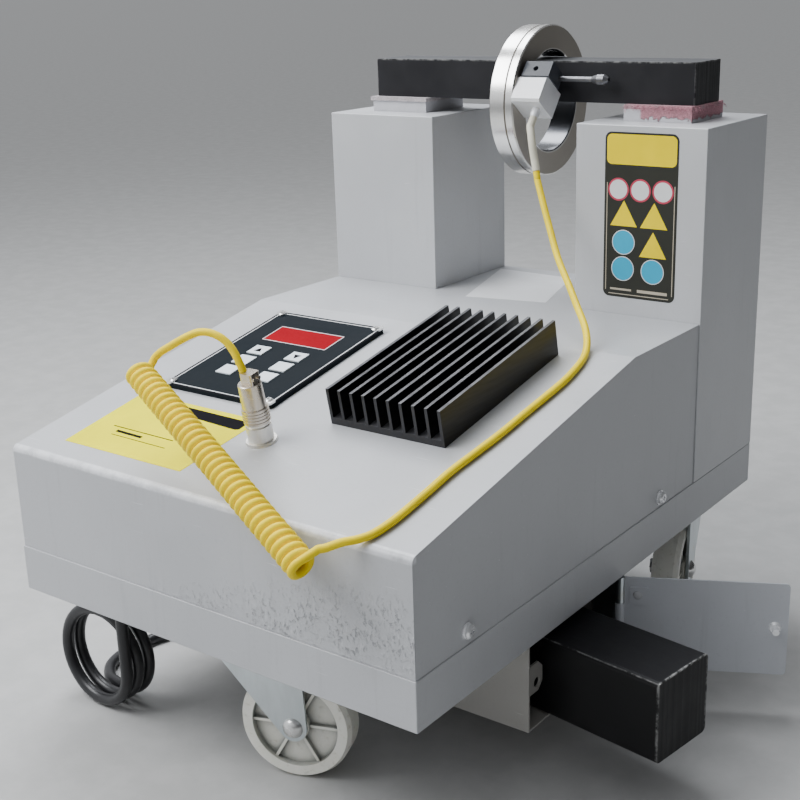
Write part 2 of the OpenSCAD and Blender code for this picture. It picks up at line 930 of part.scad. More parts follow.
module thyristor_module() {
    x = sink_x + (sink_w - thyristor_w) / 2;
    s = sink_s + (sink_l - thyristor_l) / 2;
    color([0.20, 0.20, 0.22])
        placed()
            on_slope() {
                translate([x, s, -sheet_t - thyristor_h])
                    cube([thyristor_w, thyristor_l, thyristor_h]);
                for (i = [1:3])
                    translate([x + thyristor_w / 2, s + thyristor_l * i / 4,
                        -sheet_t - thyristor_h - chip_h])
                        cylinder(h = chip_h, r = switch_w);
            }
}

trafo_size = [62, 52, 50];
trafo_in = 98;
trafo_place = [body_w - trafo_in, 52, 0];
trafo_coil = 8;

module control_transformer() {
    p = trafo_place + [0, 0, sheet_t];
    color([0.35, 0.36, 0.38])
        placed() {
            block(p, p + trafo_size);
            block(p + [trafo_coil, -trafo_coil, trafo_coil],
                p + trafo_size + [-trafo_coil, trafo_coil, -trafo_coil]);
        }
}

strip_size = [78, 24, 22];
strip_place = [96, 96, 0];

module terminal_block() {
    p = strip_place + [0, 0, sheet_t];
    step = strip_size[0] / 6;
    color([0.85, 0.84, 0.78])
        placed()
            difference() {
                block(p, p + strip_size);
                for (i = [0:5], y = [1, 3])
                    translate(p + [step * (i + 0.5), strip_size[1] * y / 4, strip_size[2] / 2])
                        cylinder(h = strip_size[2], r = step / 4);
            }
}

module heat_sink() {
    step = (sink_w - fin_t) / (fin_count - 1);
    color([0.06, 0.06, 0.07])
        placed()
            on_slope()
                translate([sink_x, sink_s, 0]) {
                    cube([sink_w, sink_l, sink_base]);
                    for (i = [0:fin_count - 1])
                        translate([i * step, 0, 0])
                            cube([fin_t, sink_l, sink_h]);
                }
}

module connector_socket() {
    ridge = socket_r / 20;
    color([0.70, 0.70, 0.70])
        placed()
            on_slope()
                translate([conn_x, conn_s, 0]) {
                    translate([0, 0, -socket_h])
                        cylinder(h = socket_h, r = socket_r - sheet_t);
                    cylinder(h = socket_flange_t, r1 = socket_flange_r, r2 = socket_flange_r - ridge);
                    cylinder(h = socket_h * 0.85, r = socket_r - ridge);
                    cylinder(h = socket_h, r = socket_r - 3 * ridge);
                }
}

module connector_plug() {
    ridge = socket_r / 20;
    color([0.80, 0.80, 0.80])
        placed()
            on_slope()
                translate([conn_x, conn_s, socket_h]) {
                    cylinder(h = nut_h, r = socket_r - ridge);
                    for (i = [0:4])
                        translate([0, 0, nut_h * (i + 0.3) / 5])
                            cylinder(h = nut_h / 10, r = socket_r);
                    translate([0, 0, nut_h])
                        cylinder(h = shell_h - ridge, r1 = socket_r - 2 * ridge, r2 = shell_top_r);
                    translate([0, 0, nut_h + shell_h - ridge])
                        cylinder(h = ridge, r1 = shell_top_r, r2 = shell_top_r - ridge);
                }
}

module plug_clamp() {
    z = socket_h + nut_h + shell_h;
    screw = wire_r / 2;
    half = clamp_w / 2;
    back = shell_top_r - screw;
    color([0.78, 0.78, 0.78])
        placed()
            on_slope()
                translate([conn_x, conn_s, z]) {
                    linear_extrude(height = clamp_h)
                        difference() {
                            translate([-cable_off, -half])
                                rounded(back + cable_off, clamp_w, screw);
                            translate([-cable_off, 0])
                                circle(r = wire_r + run_gap);
                        }
                    for (y = [-half / 2, half / 2])
                        rod([back, y, clamp_h / 2], [back + screw, y, clamp_h / 2], screw, screw);
                }
}

// storage under the tray, with the lug that takes the door's screw
lug_d = 21;
lug_top = -22.8;
lug_foot = -44.4;
door_corner = 3;
hinge_leaf = 24;
door_screw_len = 9.5;

module storage_box() {
    x1 = mouth_x;
    z0 = -box_drop;
    t = sheet_t;
    lug_x = hinge_x - knuckle_r - t;
    c = lug_d / 4;
    sy = hinge_y - door_len + door_screw_in;
    color([0.72, 0.73, 0.74])
        placed()
            difference() {
                union() {
                    block([box_x, box_y, z0], [x1, box_back_y, z0 + t]);
                    block([box_x, box_y, z0], [x1, box_y + t, 0]);
                    block([box_x, box_back_y - t, z0], [x1, box_back_y, 0]);
                    block([box_x, box_y, z0], [box_x + t, box_back_y, 0]);
                    block([box_x, box_y - box_flange, -t], [x1, box_y + t, 0]);
                    block([box_x, box_back_y - t, -t], [x1, box_back_y + box_flange, 0]);
                    translate([lug_x, 0, 0])
                        across(t)
                            polygon([
                                [box_y, lug_top], [box_y + lug_d - c, lug_top],
                                [box_y + lug_d, lug_top - c], [box_y + lug_d, lug_foot + c],
                                [box_y + lug_d - c, lug_foot], [box_y, lug_foot]
                            ]);
                }
                translate([lug_x - over, sy, -door_screw_z])
                    rotate([0, 90, 0])
                        cylinder(h = t + 2 * over, r = screw_r + lug_gap);
                block([hinge_x - knuckle_r - sheet_gap, hinge_y - knuckle_r - sheet_gap, z0 - over],
                    [x1 + over, box_back_y - t, z0 + t + over]);
            }
}

// heights of the hinge's three knuckles, measured down from the door's top
knuckle_share = 0.28;
door_z0 = -door_top_gap - door_h;
knuckle_a = door_z0 + door_h * knuckle_share;
knuckle_b = -door_top_gap - door_h * knuckle_share;

module at_hinge() {
    translate([hinge_x, hinge_y, 0])
        children();
}

module storage_door() {
    clear = knuckle_r + knuckle_gap;
    r = door_corner;
    color([0.70, 0.71, 0.72])
        placed()
            at_hinge()
                rotate([0, 0, door_angle])
                    difference() {
                        union() {
                            rotate([90, 0, 0])
                                translate([0, 0, -sheet_t / 2])
                                    linear_extrude(height = sheet_t)
                                        difference() {
                                            translate([-r * 2, door_z0])
                                                rounded(door_len + r * 2, door_h, r);
                                            translate([-r * 3, door_z0 - over])
                                                square([r * 3, door_h + 2 * over]);
                                        }
                            translate([0, 0, knuckle_a + knuckle_gap])
                                cylinder(h = knuckle_b - knuckle_a - 2 * knuckle_gap, r = knuckle_r);
                        }
                        translate([0, 0, door_z0 - over])
                            cylinder(h = door_h + 2 * over, r = hinge_pin_r + hinge_gap);
                        for (z = [[door_z0 - over, knuckle_a + knuckle_gap],
                                [knuckle_b - knuckle_gap, -door_top_gap + over]])
                            block([-clear, -clear, z[0]], [clear, clear, z[1]]);
                        rod([door_len - door_screw_in, -2 * sheet_t, -door_screw_z],
                            [door_len - door_screw_in, 2 * sheet_t, -door_screw_z],
                            screw_r + run_gap, screw_r + run_gap);
                    }
}

module door_hinge() {
    color([0.62, 0.62, 0.62])
        placed()
            at_hinge() {
                translate([0, 0, door_z0])
                    cylinder(h = door_h, r = hinge_pin_r);
                for (z = [[door_z0, knuckle_a], [knuckle_b, -door_top_gap]]) {
                    difference() {
                        union() {
                            translate([0, 0, z[0]])
                                cylinder(h = z[1] - z[0], r = knuckle_r);
                            block([-knuckle_r, 0, z[0]], [0, hinge_in - sheet_t, z[1]]);
                        }
                        translate([0, 0, z[0] - over])
                            cylinder(h = z[1] - z[0] + 2 * over, r = hinge_pin_r);
                    }
                }
                block([-hinge_leaf, hinge_in - 2 * sheet_t, -box_drop + sheet_t + sheet_gap],
                    [-knuckle_r, hinge_in - sheet_t, -door_top_gap]);
            }
}

module door_screw() {
    color([0.82, 0.82, 0.82])
        placed()
            at_hinge()
                rotate([0, 0, door_angle])
                    translate([door_len - door_screw_in, sheet_t / 2, -door_screw_z])
                        rotate([-90, 0, 0]) {
                            pan_head(screw_head_r, screw_head_h);
                            translate([0, 0, -door_screw_len])
                                cylinder(h = door_screw_len, r = screw_r);
                            translate([0, 0, -sheet_t - washer_t * 2])
                                cylinder(h = washer_t * 2, r1 = screw_r + washer_t,
                                    r2 = screw_head_r - run_gap);
                        }
}

module spare_yoke() {
    color([0.09, 0.09, 0.10])
        placed()
            translate([body_w + yoke_out, yoke_y, -box_drop + sheet_t])
                rotate([0, 0, -yoke_skew])
                    translate([-yoke_len, 0, yoke_h / 2])
                        rotate([90, 0, 90])
                            linear_extrude(height = yoke_len)
                                translate([-yoke_w / 2, -yoke_h / 2])
                                    rounded(yoke_w, yoke_h, yoke_r);
}

// casters
swivel_z = -plate_t - race_h;
crown_z = swivel_z - sheet_gap - fork_t;

module caster_plates() {
    half = plate_side / 2;
    king_end = crown_z - sheet_gap;
    color([0.66, 0.68, 0.70])
        placed()
            caster_places()
                difference() {
                    union() {
                        soft_block([-half, -half, -plate_t], [half, half, 0], bolt_r);
                        translate([0, 0, swivel_z])
                            cylinder(h = race_h, r1 = race_r - race_h / 3, r2 = race_r);
                        translate([0, 0, king_end])
                            cylinder(h = -king_end - plate_t, r = king_r);
                        translate([0, 0, king_end - fork_t])
                            cylinder(h = fork_t, r = king_r + fork_t);
                    }
                    caster_bolt_places()
                        translate([0, 0, -plate_t - over])
                            cylinder(h = plate_t + 2 * over, r = bolt_r + sheet_gap / 2);
                }
}

module caster_bolts() {
    head_r = bolt_r * 1.85;
    head_h = bolt_r * 1.2;
    color([0.74, 0.75, 0.76])
        placed()
            caster_places()
                caster_bolt_places() {
                    translate([0, 0, -plate_t - head_h])
                        cylinder(h = head_h, r = head_r, $fn = 6);
                    translate([0, 0, -plate_t - over / 2])
                        cylinder(h = plate_t + 3 * head_h, r = bolt_r);
                    translate([0, 0, sheet_t])
                        cylinder(h = head_h, r = head_r, $fn = 6);
                }
}

function tangent_point(c, r, p, side) =
    let (v = p - c, d = norm(v), a = atan2(v[1], v[0]) + side * acos(r / d))
    c + r * [cos(a), sin(a)];

// fork in its own frame: swivel pin at the origin, wheel trailing along x
module fork(pivot, angle) {
    c = [trail, axle_z];
    top = crown_z + fork_t;
    front = [-crown_r * 0.95, top - fork_t];
    back = [trail + leg_r * 0.75, top - fork_t];
    color([0.72, 0.75, 0.76])
        placed()
            translate(pivot)
                rotate([0, 0, angle])
                    difference() {
                        union() {
                            translate([0, 0, crown_z])
                                cylinder(h = fork_t, r = crown_r);
                            block([front[0], -fork_y - fork_t, crown_z], [back[0], fork_y + fork_t, top]);
                            for (y = [-fork_y - fork_t, fork_y])
                                translate([0, y + fork_t, 0])
                                    rotate([90, 0, 0])
                                        linear_extrude(height = fork_t)
                                            union() {
                                                translate(c)
                                                    circle(r = leg_r);
                                                polygon([
                                                    front, [front[0], top], [back[0], top], back,
                                                    tangent_point(c, leg_r, back, -1), c,
                                                    tangent_point(c, leg_r, front, 1)
                                                ]);
                                            }
                        }
                        translate([0, 0, crown_z - over])
                            cylinder(h = fork_t + 2 * over, r = king_r + run_gap);
                        translate([trail - crown_r * 0.1, -fork_y, crown_z - over])
                            cube([crown_r, 2 * fork_y, fork_t + 2 * over]);
                        translate([trail, 0, axle_z])
                            rotate([90, 0, 0])
                                cylinder(h = 4 * fork_y, r = axle_r, center = true);
                    }
}

module wheel(pivot, angle) {
    hub_r = axle_r * 2.6;
    rim_r = wheel_r - 9 * rib_t / 2;
    half = wheel_w / 2;
    web = 6 * rib_t;
    bore = axle_r + run_gap;
    c = rib_t;
    color([0.86, 0.85, 0.76])
        placed()
            translate(pivot)
                rotate([0, 0, angle])
                    translate([trail, 0, axle_z])
                        rotate([90, 0, 0]) {
                            rotate_extrude()
                                polygon([
                                    [bore, -half], [hub_r, -half], [hub_r, -web / 2], [rim_r, -web / 2],
                                    [rim_r, -half], [wheel_r - c, -half], [wheel_r, -half + 2 * c],
                                    [wheel_r, half - 2 * c], [wheel_r - c, half], [rim_r, half],
                                    [rim_r, web / 2], [hub_r, web / 2], [hub_r, half], [bore, half]
                                ]);
                            for (i = [0:5])
                                rotate([0, 0, i * 60])
                                    translate([hub_r - over, -rib_t / 2, -half + rib_t])
                                        cube([rim_r - hub_r + 2 * over, rib_t, wheel_w - 2 * rib_t]);
                        }
}

rib_t = 2;

// side is -1 where the round head is on the far cheek and the nut on the near one
module axle(pivot, angle, side = 1) {
    out = fork_y + fork_t;
    color([0.80, 0.81, 0.82])
        placed()
            translate(pivot)
                rotate([0, 0, angle])
                    translate([trail, 0, axle_z])
                        rotate([side * 90, 0, 0]) {
                            translate([0, 0, -out])
                                cylinder(h = 2 * out, r = axle_r);
                            translate([0, 0, out])
                                dome(axle_head_r, axle_head_h);
                            translate([0, 0, -out - axle_head_h])
                                cylinder(h = axle_head_h, r = axle_head_r, $fn = 6);
                        }
}

// low dome as a slice of a turned arc
module dome(r, h) {
    big = (r * r + h * h) / (2 * h);
    a = asin(r / big);
    rotate_extrude()
        polygon(concat([[0, 0]],
            [for (i = [0:6]) [big * sin(a - a * i / 6), big * cos(a - a * i / 6) - big + h]]));
}

module front_fork() fork(front_pivot, front_angle);
module rear_right_fork() fork(rear_right_pivot, rear_right_angle);
module rear_left_fork() fork(rear_left_pivot, rear_left_angle);
module front_wheel() wheel(front_pivot, front_angle);
module rear_right_wheel() wheel(rear_right_pivot, rear_right_angle);
module rear_left_wheel() wheel(rear_left_pivot, rear_left_angle);
module front_axle() axle(front_pivot, front_angle);
module rear_right_axle() axle(rear_right_pivot, rear_right_angle, -1);
module rear_left_axle() axle(rear_left_pivot, rear_left_angle);

// leads: a tube is swept along its points with frames carried along
function unit(v) = v / norm(v);
function way(p, i) =
    i == 0 ? unit(p[1] - p[0]) :
    i == len(p) - 1 ? unit(p[i] - p[i - 1]) : unit(p[i + 1] - p[i - 1]);
function square_to(n, t) = unit(n - (n * t) * t);
function carried(p, n0) = [
    for (i = 0, n = square_to(n0, way(p, 0)); i < len(p);
        i = i + 1, n = i < len(p) ? square_to(n, way(p, i)) : n) n
];
function curve_point(a, b, c, d, t) =
    0.5 * (2 * b + (c - a) * t + (2 * a - 5 * b + 4 * c - d) * t * t + (3 * b - a - 3 * c + d) * t * t * t);
function smooth(p, n) = [
    for (i = [0:len(p) - 2], j = [0:n - 1])
        curve_point(p[max(i - 1, 0)], p[i], p[i + 1], p[min(i + 2, len(p) - 1)], j / n),
    p[len(p) - 1]
];
function path_len(p) = [for (i = 0, s = 0; i < len(p); s = i < len(p) - 1 ? s + norm(p[i + 1] - p[i]) : s,
    i = i + 1) s][len(p) - 1];

module tube(p, r, sides, n0) {
    frames = carried(p, n0);
    pts = [
        for (i = [0:len(p) - 1], k = [0:sides - 1])
            let (n = frames[i], b = cross(way(p, i), n), a = 360 * k / sides)
            p[i] + r * (cos(a) * n + sin(a) * b)
    ];
    last = (len(p) - 1) * sides;
    faces = concat(
        [for (k = [1:sides - 2]) [0, k, k + 1]],
        [for (k = [1:sides - 2]) [last, last + k + 1, last + k]],
        [for (i = [0:len(p) - 2], k = [0:sides - 1])
            [i * sides + k, (i + 1) * sides + k, i * sides + (k + 1) % sides]],
        [for (i = [0:len(p) - 2], k = [0:sides - 1])
            [i * sides + (k + 1) % sides, (i + 1) * sides + k, (i + 1) * sides + (k + 1) % sides]]
    );
    polyhedron(points = pts, faces = faces);
}

// least gap of a wound tube to itself, points a turn apart and more
function self_gap(p, skip, r) =
    min([for (i = [0:len(p) - 1], j = [i + skip:len(p) - 1]) norm(p[i] - p[j])]) - 2 * r;

// mains lead
gland_in = 22;
gland_x = gland_in + loop_r;
gland_y = 34;
floor_z = -caster_h + lead_r + lie_gap;
loop_z = floor_z + loop_r;
loop_gap = 2;
loop_step = 2 * lead_r + loop_gap;
loop_ring_count = 24;
loop_turn_count = loop_count + 0.25;
straight = 2 * lead_r;
drop_ring_count = 3;

loops_path = concat(
    [for (i = [0:drop_ring_count - 1])
        [gland_x, gland_y, -gland_h + (loop_z + gland_h) * i / drop_ring_count]],
    [for (i = [0:loop_turn_count * loop_ring_count])
        let (a = 360 * i / loop_ring_count)
        [gland_x - loop_r + loop_r * cos(a), gland_y + loop_step * a / 360, loop_z - loop_r * sin(a)]],
    [[gland_x - loop_r - straight, gland_y + loop_step * loop_turn_count + loop_step / 20, floor_z]]
);
loops_end = loops_path[len(loops_path) - 1];

coil_turn_count = 2;
coil_pitch = 2 * lead_r * 1.14;
coil_outer = floor_coil_r + coil_pitch;
coil_inner = coil_outer - coil_turn_count * coil_pitch;
coil_x = 136;
coil_back = 98;
coil_y = body_d + coil_back;
lift_share = 1.1;

function flat_coil(a) =
    let (full = 360 * coil_turn_count, rise = 90, top = full + rise,
        r = a < full ? coil_outer - coil_pitch * a / 360 :
            a < top ? coil_inner : coil_inner + coil_pitch * (a - top) / 360,
        layer = 2 * lead_r * lift_share,
        z = a < full ? 0 : a < top ? layer * (1 - cos(180 * (a - full) / rise)) / 2 : layer)
    [coil_x - r * cos(a), coil_y + r * sin(a), floor_z + z];

coil_sweep = 2 * 360 * coil_turn_count + 90;
coil_arc = [for (i = [0:coil_sweep * loop_ring_count / 360]) flat_coil(360 * i / loop_ring_count)];
coil_exit = unit(coil_arc[len(coil_arc) - 1] - coil_arc[len(coil_arc) - 2]);
coil_entry = unit(coil_arc[1] - coil_arc[0]);
coil_path = concat(
    [coil_arc[0] - straight * coil_entry], coil_arc, [coil_arc[len(coil_arc) - 1] + straight * coil_exit]
);
plug_at = coil_path[len(coil_path) - 1];
coil_start = coil_path[0];

run_route = concat(
    [loops_end, loops_end + [-10, 3, 0]],
    [for (p = [[-11, 76], [-17, 98], [-15, 124], [-3, 158], [20, 206], [48, 256], [76, 306], [100, 352],
        [117, 396], [125, 436], [123.5, 472], [110, 503], [91, 530]]) [p[0], p[1], floor_z]],
    [for (t = [2, 1, 0]) coil_start - t * straight * coil_entry]
);

module mains_gland() {
    nut_r = lead_r * 2.2;
    color([0.12, 0.12, 0.13])
        placed()
            translate([gland_x, gland_y, 0]) {
                translate([0, 0, -gland_h / 3])
                    cylinder(h = gland_h / 3, r = nut_r, $fn = 6);
                translate([0, 0, -gland_h])
                    cylinder(h = gland_h * 2 / 3, r1 = lead_r * 1.3, r2 = lead_r * 1.9);
                translate([0, 0, -over])
                    cylinder(h = 2 * sheet_t + over, r = lead_r + 2 * sheet_t - sheet_gap);
                translate([0, 0, sheet_t])
                    cylinder(h = gland_h / 3, r = nut_r, $fn = 6);
            }
}

module mains_loops() {
    echo("mains loops, least gap", self_gap(loops_path, loop_ring_count / 2, lead_r));
    echo("mains loops, length", path_len(loops_path));
    color([0.05, 0.05, 0.06])
        placed()
            tube(loops_path, lead_r, 6, [0, 1, 0]);
}

module mains_run() {
    p = smooth(run_route, 2);
    echo("mains run, length", path_len(p), "rings", len(p));
    color([0.05, 0.05, 0.06])
        placed()
            tube(p, lead_r, 8, [0, 0, 1]);
}

module mains_coil() {
    echo("mains coil, least gap", self_gap(coil_path, loop_ring_count / 2, lead_r));
    echo("mains coil, length", path_len(coil_path));
    color([0.05, 0.05, 0.06])
        placed()
            tube(coil_path, lead_r, 6, [0, 0, 1]);
}

plug_w = 38;
plug_l = 36;
relief_l = 26;
blade_l = 18;
blade_w = 6.3;
blade_t = 1.6;
blade_off = 8;

module mains_plug() {
    half_h = plug_at[2] + caster_h - lie_gap;
    color([0.08, 0.08, 0.09])
        placed()
            translate(plug_at)
                rotate([0, 90, atan2(coil_exit[1], coil_exit[0])]) {
                    cylinder(h = relief_l, r1 = lead_r + over, r2 = lead_r * 1.8);
                    translate([-half_h, -plug_w / 2, relief_l])
                        soft_block([0, 0, 0], [2 * half_h, plug_w, plug_l], lead_r);
                    translate([blade_off, 0, relief_l + plug_l])
                        translate([-blade_t / 2, -blade_w / 2, -over])
                            cube([blade_t, blade_w, blade_l + over]);
                    for (side = [-1, 1])
                        translate([-blade_off / 2, side * blade_off, relief_l + plug_l])
                            rotate([0, 0, side * 60])
                                translate([-blade_t / 2, -blade_w / 2, -over])
                                    cube([blade_t, blade_w, blade_l + over]);
                }
}

// probe cable
gland_shift = 5;
probe_fwd = 46.2;
probe_up = 7.1;
probe_y = core_y - probe_fwd;
probe_z = ring_z + probe_up;
probe_gland_d = 0;
pin_d = 3;
gland_tip = [0, -probe_h / 2 - probe_gland_len];
sleeve_start = [
    ring_x + probe_len / 2 + gland_shift,
    probe_y + probe_gland_d * cos(probe_tilt) + gland_tip[1] * sin(probe_tilt),
    probe_z - probe_gland_d * sin(probe_tilt) + gland_tip[1] * cos(probe_tilt)
];
gland_way = [0, -sin(probe_tilt), -cos(probe_tilt)];
sleeve_end = sleeve_start + [10.6, -13.6, -39.3];
sleeve_way = unit([0.3, -0.21, -0.93]);
sleeve_route = concat(
    [for (t = [0, 2, 2.8]) sleeve_start + t * sleeve_r * gland_way],
    [for (d = [[2.6, -8, -12.4], [4.7, -10, -19], [6.6, -11.1, -26.5]]) sleeve_start + d],
    [for (t = [3, 2, 0]) sleeve_end - t * sleeve_r * sleeve_way]
);

// height of a wire that lies on the deck
function on_deck(x, y) =
    [x, y, (y < knee_y ? front_h + y * tan(slope) : deck_h) + (wire_r + lie_gap) / cos(slope)];

wire_in = 30;
wire_x = body_w - wire_in;
curl_top = [105, 31, front_h + 62.6];
curl_foot = [wire_x - 31.8, -21, front_h - 11.9];
curl_way = unit(curl_foot - curl_top);
curl_u = unit(cross([0, 0, 1], curl_way));
curl_v = cross(curl_way, curl_u);
curl_angle = 30;
curl_sweep = 360 * curl_count + 208;
curl_ring_count = 8;
curl_pitch = norm(curl_foot - curl_top) * 360 / curl_sweep;
curl_steps = floor(curl_sweep * curl_ring_count / 360);

function curl_at(a) =
    curl_top + curl_way * curl_pitch * a / 360
    + curl_r * (cos(a + curl_angle) * curl_u - sin(a + curl_angle) * curl_v);
curl_arc = [for (i = [0:curl_steps]) curl_at(curl_sweep * i / curl_steps)];
curl_in = unit(curl_at(1) - curl_at(0));
curl_out = unit(curl_at(curl_sweep) - curl_at(curl_sweep - 1));
curl_path = concat(
    [curl_arc[0] - 2 * wire_r * curl_in], curl_arc, [curl_arc[curl_steps] + 2 * wire_r * curl_out]
);
curl_first = curl_path[0];
curl_last = curl_path[len(curl_path) - 1];

// the run falls from the sleeve to where it first lies on the deck, each point a share of the way
run_land = on_deck(wire_x - 2.2, 248.5);
run_fall = run_land - sleeve_end;
function fallen(share) = sleeve_end + [for (k = [0:2]) run_fall[k] * share[k]];

run_points = concat(
    [for (t = [0, 2, 3]) sleeve_end + t * wire_r * sleeve_way],
    [for (share = [[0.112, 0.082, 0.211], [0.198, 0.145, 0.342], [0.36, 0.28, 0.545],
        [0.56, 0.454, 0.693], [0.71, 0.599, 0.789], [0.831, 0.72, 0.858], [0.908, 0.812, 0.91],
        [0.963, 0.903, 0.962]]) fallen(share)],
    [run_land],
    [for (q = [[0.8, 236], [3.4, 214], [3.4, 190], [2.8, 165], [2.2, 134.5], [0.6, 108.4],
        [-1.1, 83.3], [-0.8, 55.3], [-1, 27], [-3.4, 10]]) on_deck(wire_x + q[0], q[1])],
    [for (d = [[-7.4, 0.2, 3.8], [-14, -7, 2.8], [-20.6, -13.4, 0.2]]) [wire_x, 0, front_h] + d],
    [for (t = [3, 2, 0]) curl_last + t * wire_r * curl_out]
);

plug_tip = slope_point(conn_x - cable_off, conn_s, socket_h + nut_h + shell_h);
plug_way = [0, -sin(slope), cos(slope)];
arch_points = concat(
    [for (t = [0, 2, 3]) plug_tip + t * wire_r * plug_way],
    [[166.2, 62.8, 181.2], [162.6, 62.2, 187.5], [158.2, 61, 192.8], [152.6, 59, 196.7],
        [146.2, 56.8, 198.5], [139.4, 54.4, 198], [132.2, 51.8, 194.9], [125.4, 49.2, 191],
        [119, 46.8, 187], [113.6, 44.8, 183.6]],
    [for (t = [3, 2, 0]) curl_first - t * wire_r * curl_in]
);

module probe_sleeve() {
    color([0.86, 0.84, 0.74])
        placed()
            tube(smooth(sleeve_route, 2), sleeve_r, 8, [1, 0, 0]);
}

module probe_run() {
    p = smooth(run_points, 2);
    echo("probe run, length", path_len(p), "rings", len(p));
    color([0.95, 0.82, 0.05])
        placed()
            tube(p, wire_r, 8, [1, 0, 0]);
}

module probe_curl() {
    echo("probe curl, least gap", self_gap(curl_path, curl_ring_count / 2 + 2, wire_r));
    echo("probe curl, length", path_len(curl_path));
    color([0.95, 0.82, 0.05])
        placed()
            tube(curl_path, wire_r, 6, curl_way);
}

module probe_arch() {
    p = smooth(arch_points, 2);
    echo("probe arch, length", path_len(p), "rings", len(p));
    color([0.95, 0.82, 0.05])
        placed()
            tube(p, wire_r, 8, [0, 1, 0]);
}

// drawing
base_tray();
left_pillar();
right_pillar();
deck_cover();
cover_screws();
magnet_core();
left_coil();
right_coil();
core_clamps();
left_pad();
right_pad();
crossbar();
control_board();
display_module();
thyristor_module();
control_transformer();
terminal_block();
control_panel();
display_window();
panel_screws();
raise_key();
lower_key();
time_key();
heat_key();
start_key();
stop_key();
heat_sink();
connector_socket();
connector_plug();
plug_clamp();
storage_box();
storage_door();
door_hinge();
door_screw();
spare_yoke();
bearing_ring();
probe_block();
probe_magnet();
probe_lever();
probe_gland();
caster_plates();
caster_bolts();
front_fork();
rear_right_fork();
rear_left_fork();
front_wheel();
rear_right_wheel();
rear_left_wheel();
front_axle();
rear_right_axle();
rear_left_axle();
mains_gland();
mains_loops();
mains_run();
mains_coil();
mains_plug();
probe_sleeve();
probe_run();
probe_curl();
probe_arch();
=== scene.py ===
import json
import math
import random

import bmesh
import bpy
from mathutils import Matrix, Vector


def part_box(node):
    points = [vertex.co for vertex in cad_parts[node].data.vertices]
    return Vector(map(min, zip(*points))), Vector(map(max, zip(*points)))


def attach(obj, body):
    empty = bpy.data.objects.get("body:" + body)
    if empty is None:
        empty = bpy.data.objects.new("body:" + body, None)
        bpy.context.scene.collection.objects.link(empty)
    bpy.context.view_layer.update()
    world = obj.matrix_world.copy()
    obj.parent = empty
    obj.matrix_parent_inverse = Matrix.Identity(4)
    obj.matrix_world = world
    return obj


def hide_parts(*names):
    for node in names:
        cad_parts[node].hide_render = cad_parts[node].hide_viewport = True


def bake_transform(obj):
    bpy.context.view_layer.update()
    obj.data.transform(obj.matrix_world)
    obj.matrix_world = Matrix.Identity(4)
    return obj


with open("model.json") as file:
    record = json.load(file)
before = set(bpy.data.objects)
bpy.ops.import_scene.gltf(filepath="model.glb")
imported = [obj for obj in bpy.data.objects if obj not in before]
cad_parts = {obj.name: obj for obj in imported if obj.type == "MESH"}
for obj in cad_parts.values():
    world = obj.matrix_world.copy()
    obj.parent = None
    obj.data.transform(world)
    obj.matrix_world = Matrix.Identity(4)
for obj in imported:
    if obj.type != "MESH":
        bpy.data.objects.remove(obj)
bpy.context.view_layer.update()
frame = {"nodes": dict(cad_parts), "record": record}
NODES = frame["nodes"]

# The machine's own measures, in millimetres, as in part.scad. X from its left side, Y from its front,
# Z from the tray's underside. Other lengths are in millimetres too, but for the ones in the materials,
# the camera and the stage, which are in metres.
BODY_W = 350.0
BODY_D = 477.3
TRAY_H = 33.5
FRONT_H = 109.4
DECK_H = 160.4
KNEE_Y = 263.7
CASTER_H = 106.0
ORIGIN_X = 224.611044
SLOPE = math.atan2(DECK_H - FRONT_H, KNEE_Y)


def at(x, y, z):
    """A point of the machine, in the row frame in metres."""
    return Vector(((x - ORIGIN_X) / 1000, (y - BODY_D / 2) / 1000, (z + CASTER_H) / 1000))


def slope_mm(x, s, n):
    """A point of the machine, s along the sloping deck from its front and n above it."""
    return (x, s * math.cos(SLOPE) - n * math.sin(SLOPE), FRONT_H + s * math.sin(SLOPE) + n * math.cos(SLOPE))


def on_slope(x, s, n):
    return at(*slope_mm(x, s, n))


def cos_sin(deg):
    return math.cos(math.radians(deg)), math.sin(math.radians(deg))


def circle(count):
    """Cosine and sine at so many even steps round a full turn."""
    return [cos_sin(360 * k / count) for k in range(count)]


def add_object(name, data):
    obj = bpy.data.objects.new(name, data)
    bpy.context.scene.collection.objects.link(obj)
    return obj


# camera, solved from the housing's edges in the photograph
CAMERA_PLACE = (747.3, -528.1, 413.1)
YAW, PITCH, ROLL = math.radians(37.30), math.radians(17.71), math.radians(-1.80)
PICTURE_PIXELS = 800.0
FOCAL_PIXELS = 1315.4
SENSOR_MM = 36.0
NEAREST = 0.05


def add_camera():
    look = Vector((-math.sin(YAW) * math.cos(PITCH), math.cos(YAW) * math.cos(PITCH), -math.sin(PITCH)))
    level_right = look.cross(Vector((0, 0, 1))).normalized()
    level_up = level_right.cross(look)
    right = math.cos(ROLL) * level_right + math.sin(ROLL) * level_up
    up = -math.sin(ROLL) * level_right + math.cos(ROLL) * level_up
    data = bpy.data.cameras.new("camera")
    data.sensor_width = SENSOR_MM
    data.lens = FOCAL_PIXELS * SENSOR_MM / PICTURE_PIXELS
    data.clip_start = NEAREST
    camera = add_object("camera", data)
    turn = Matrix((right, up, -look)).transposed().to_4x4()
    camera.matrix_world = Matrix.Translation(at(*CAMERA_PLACE)) @ turn
    bpy.context.scene.camera = camera


add_camera()


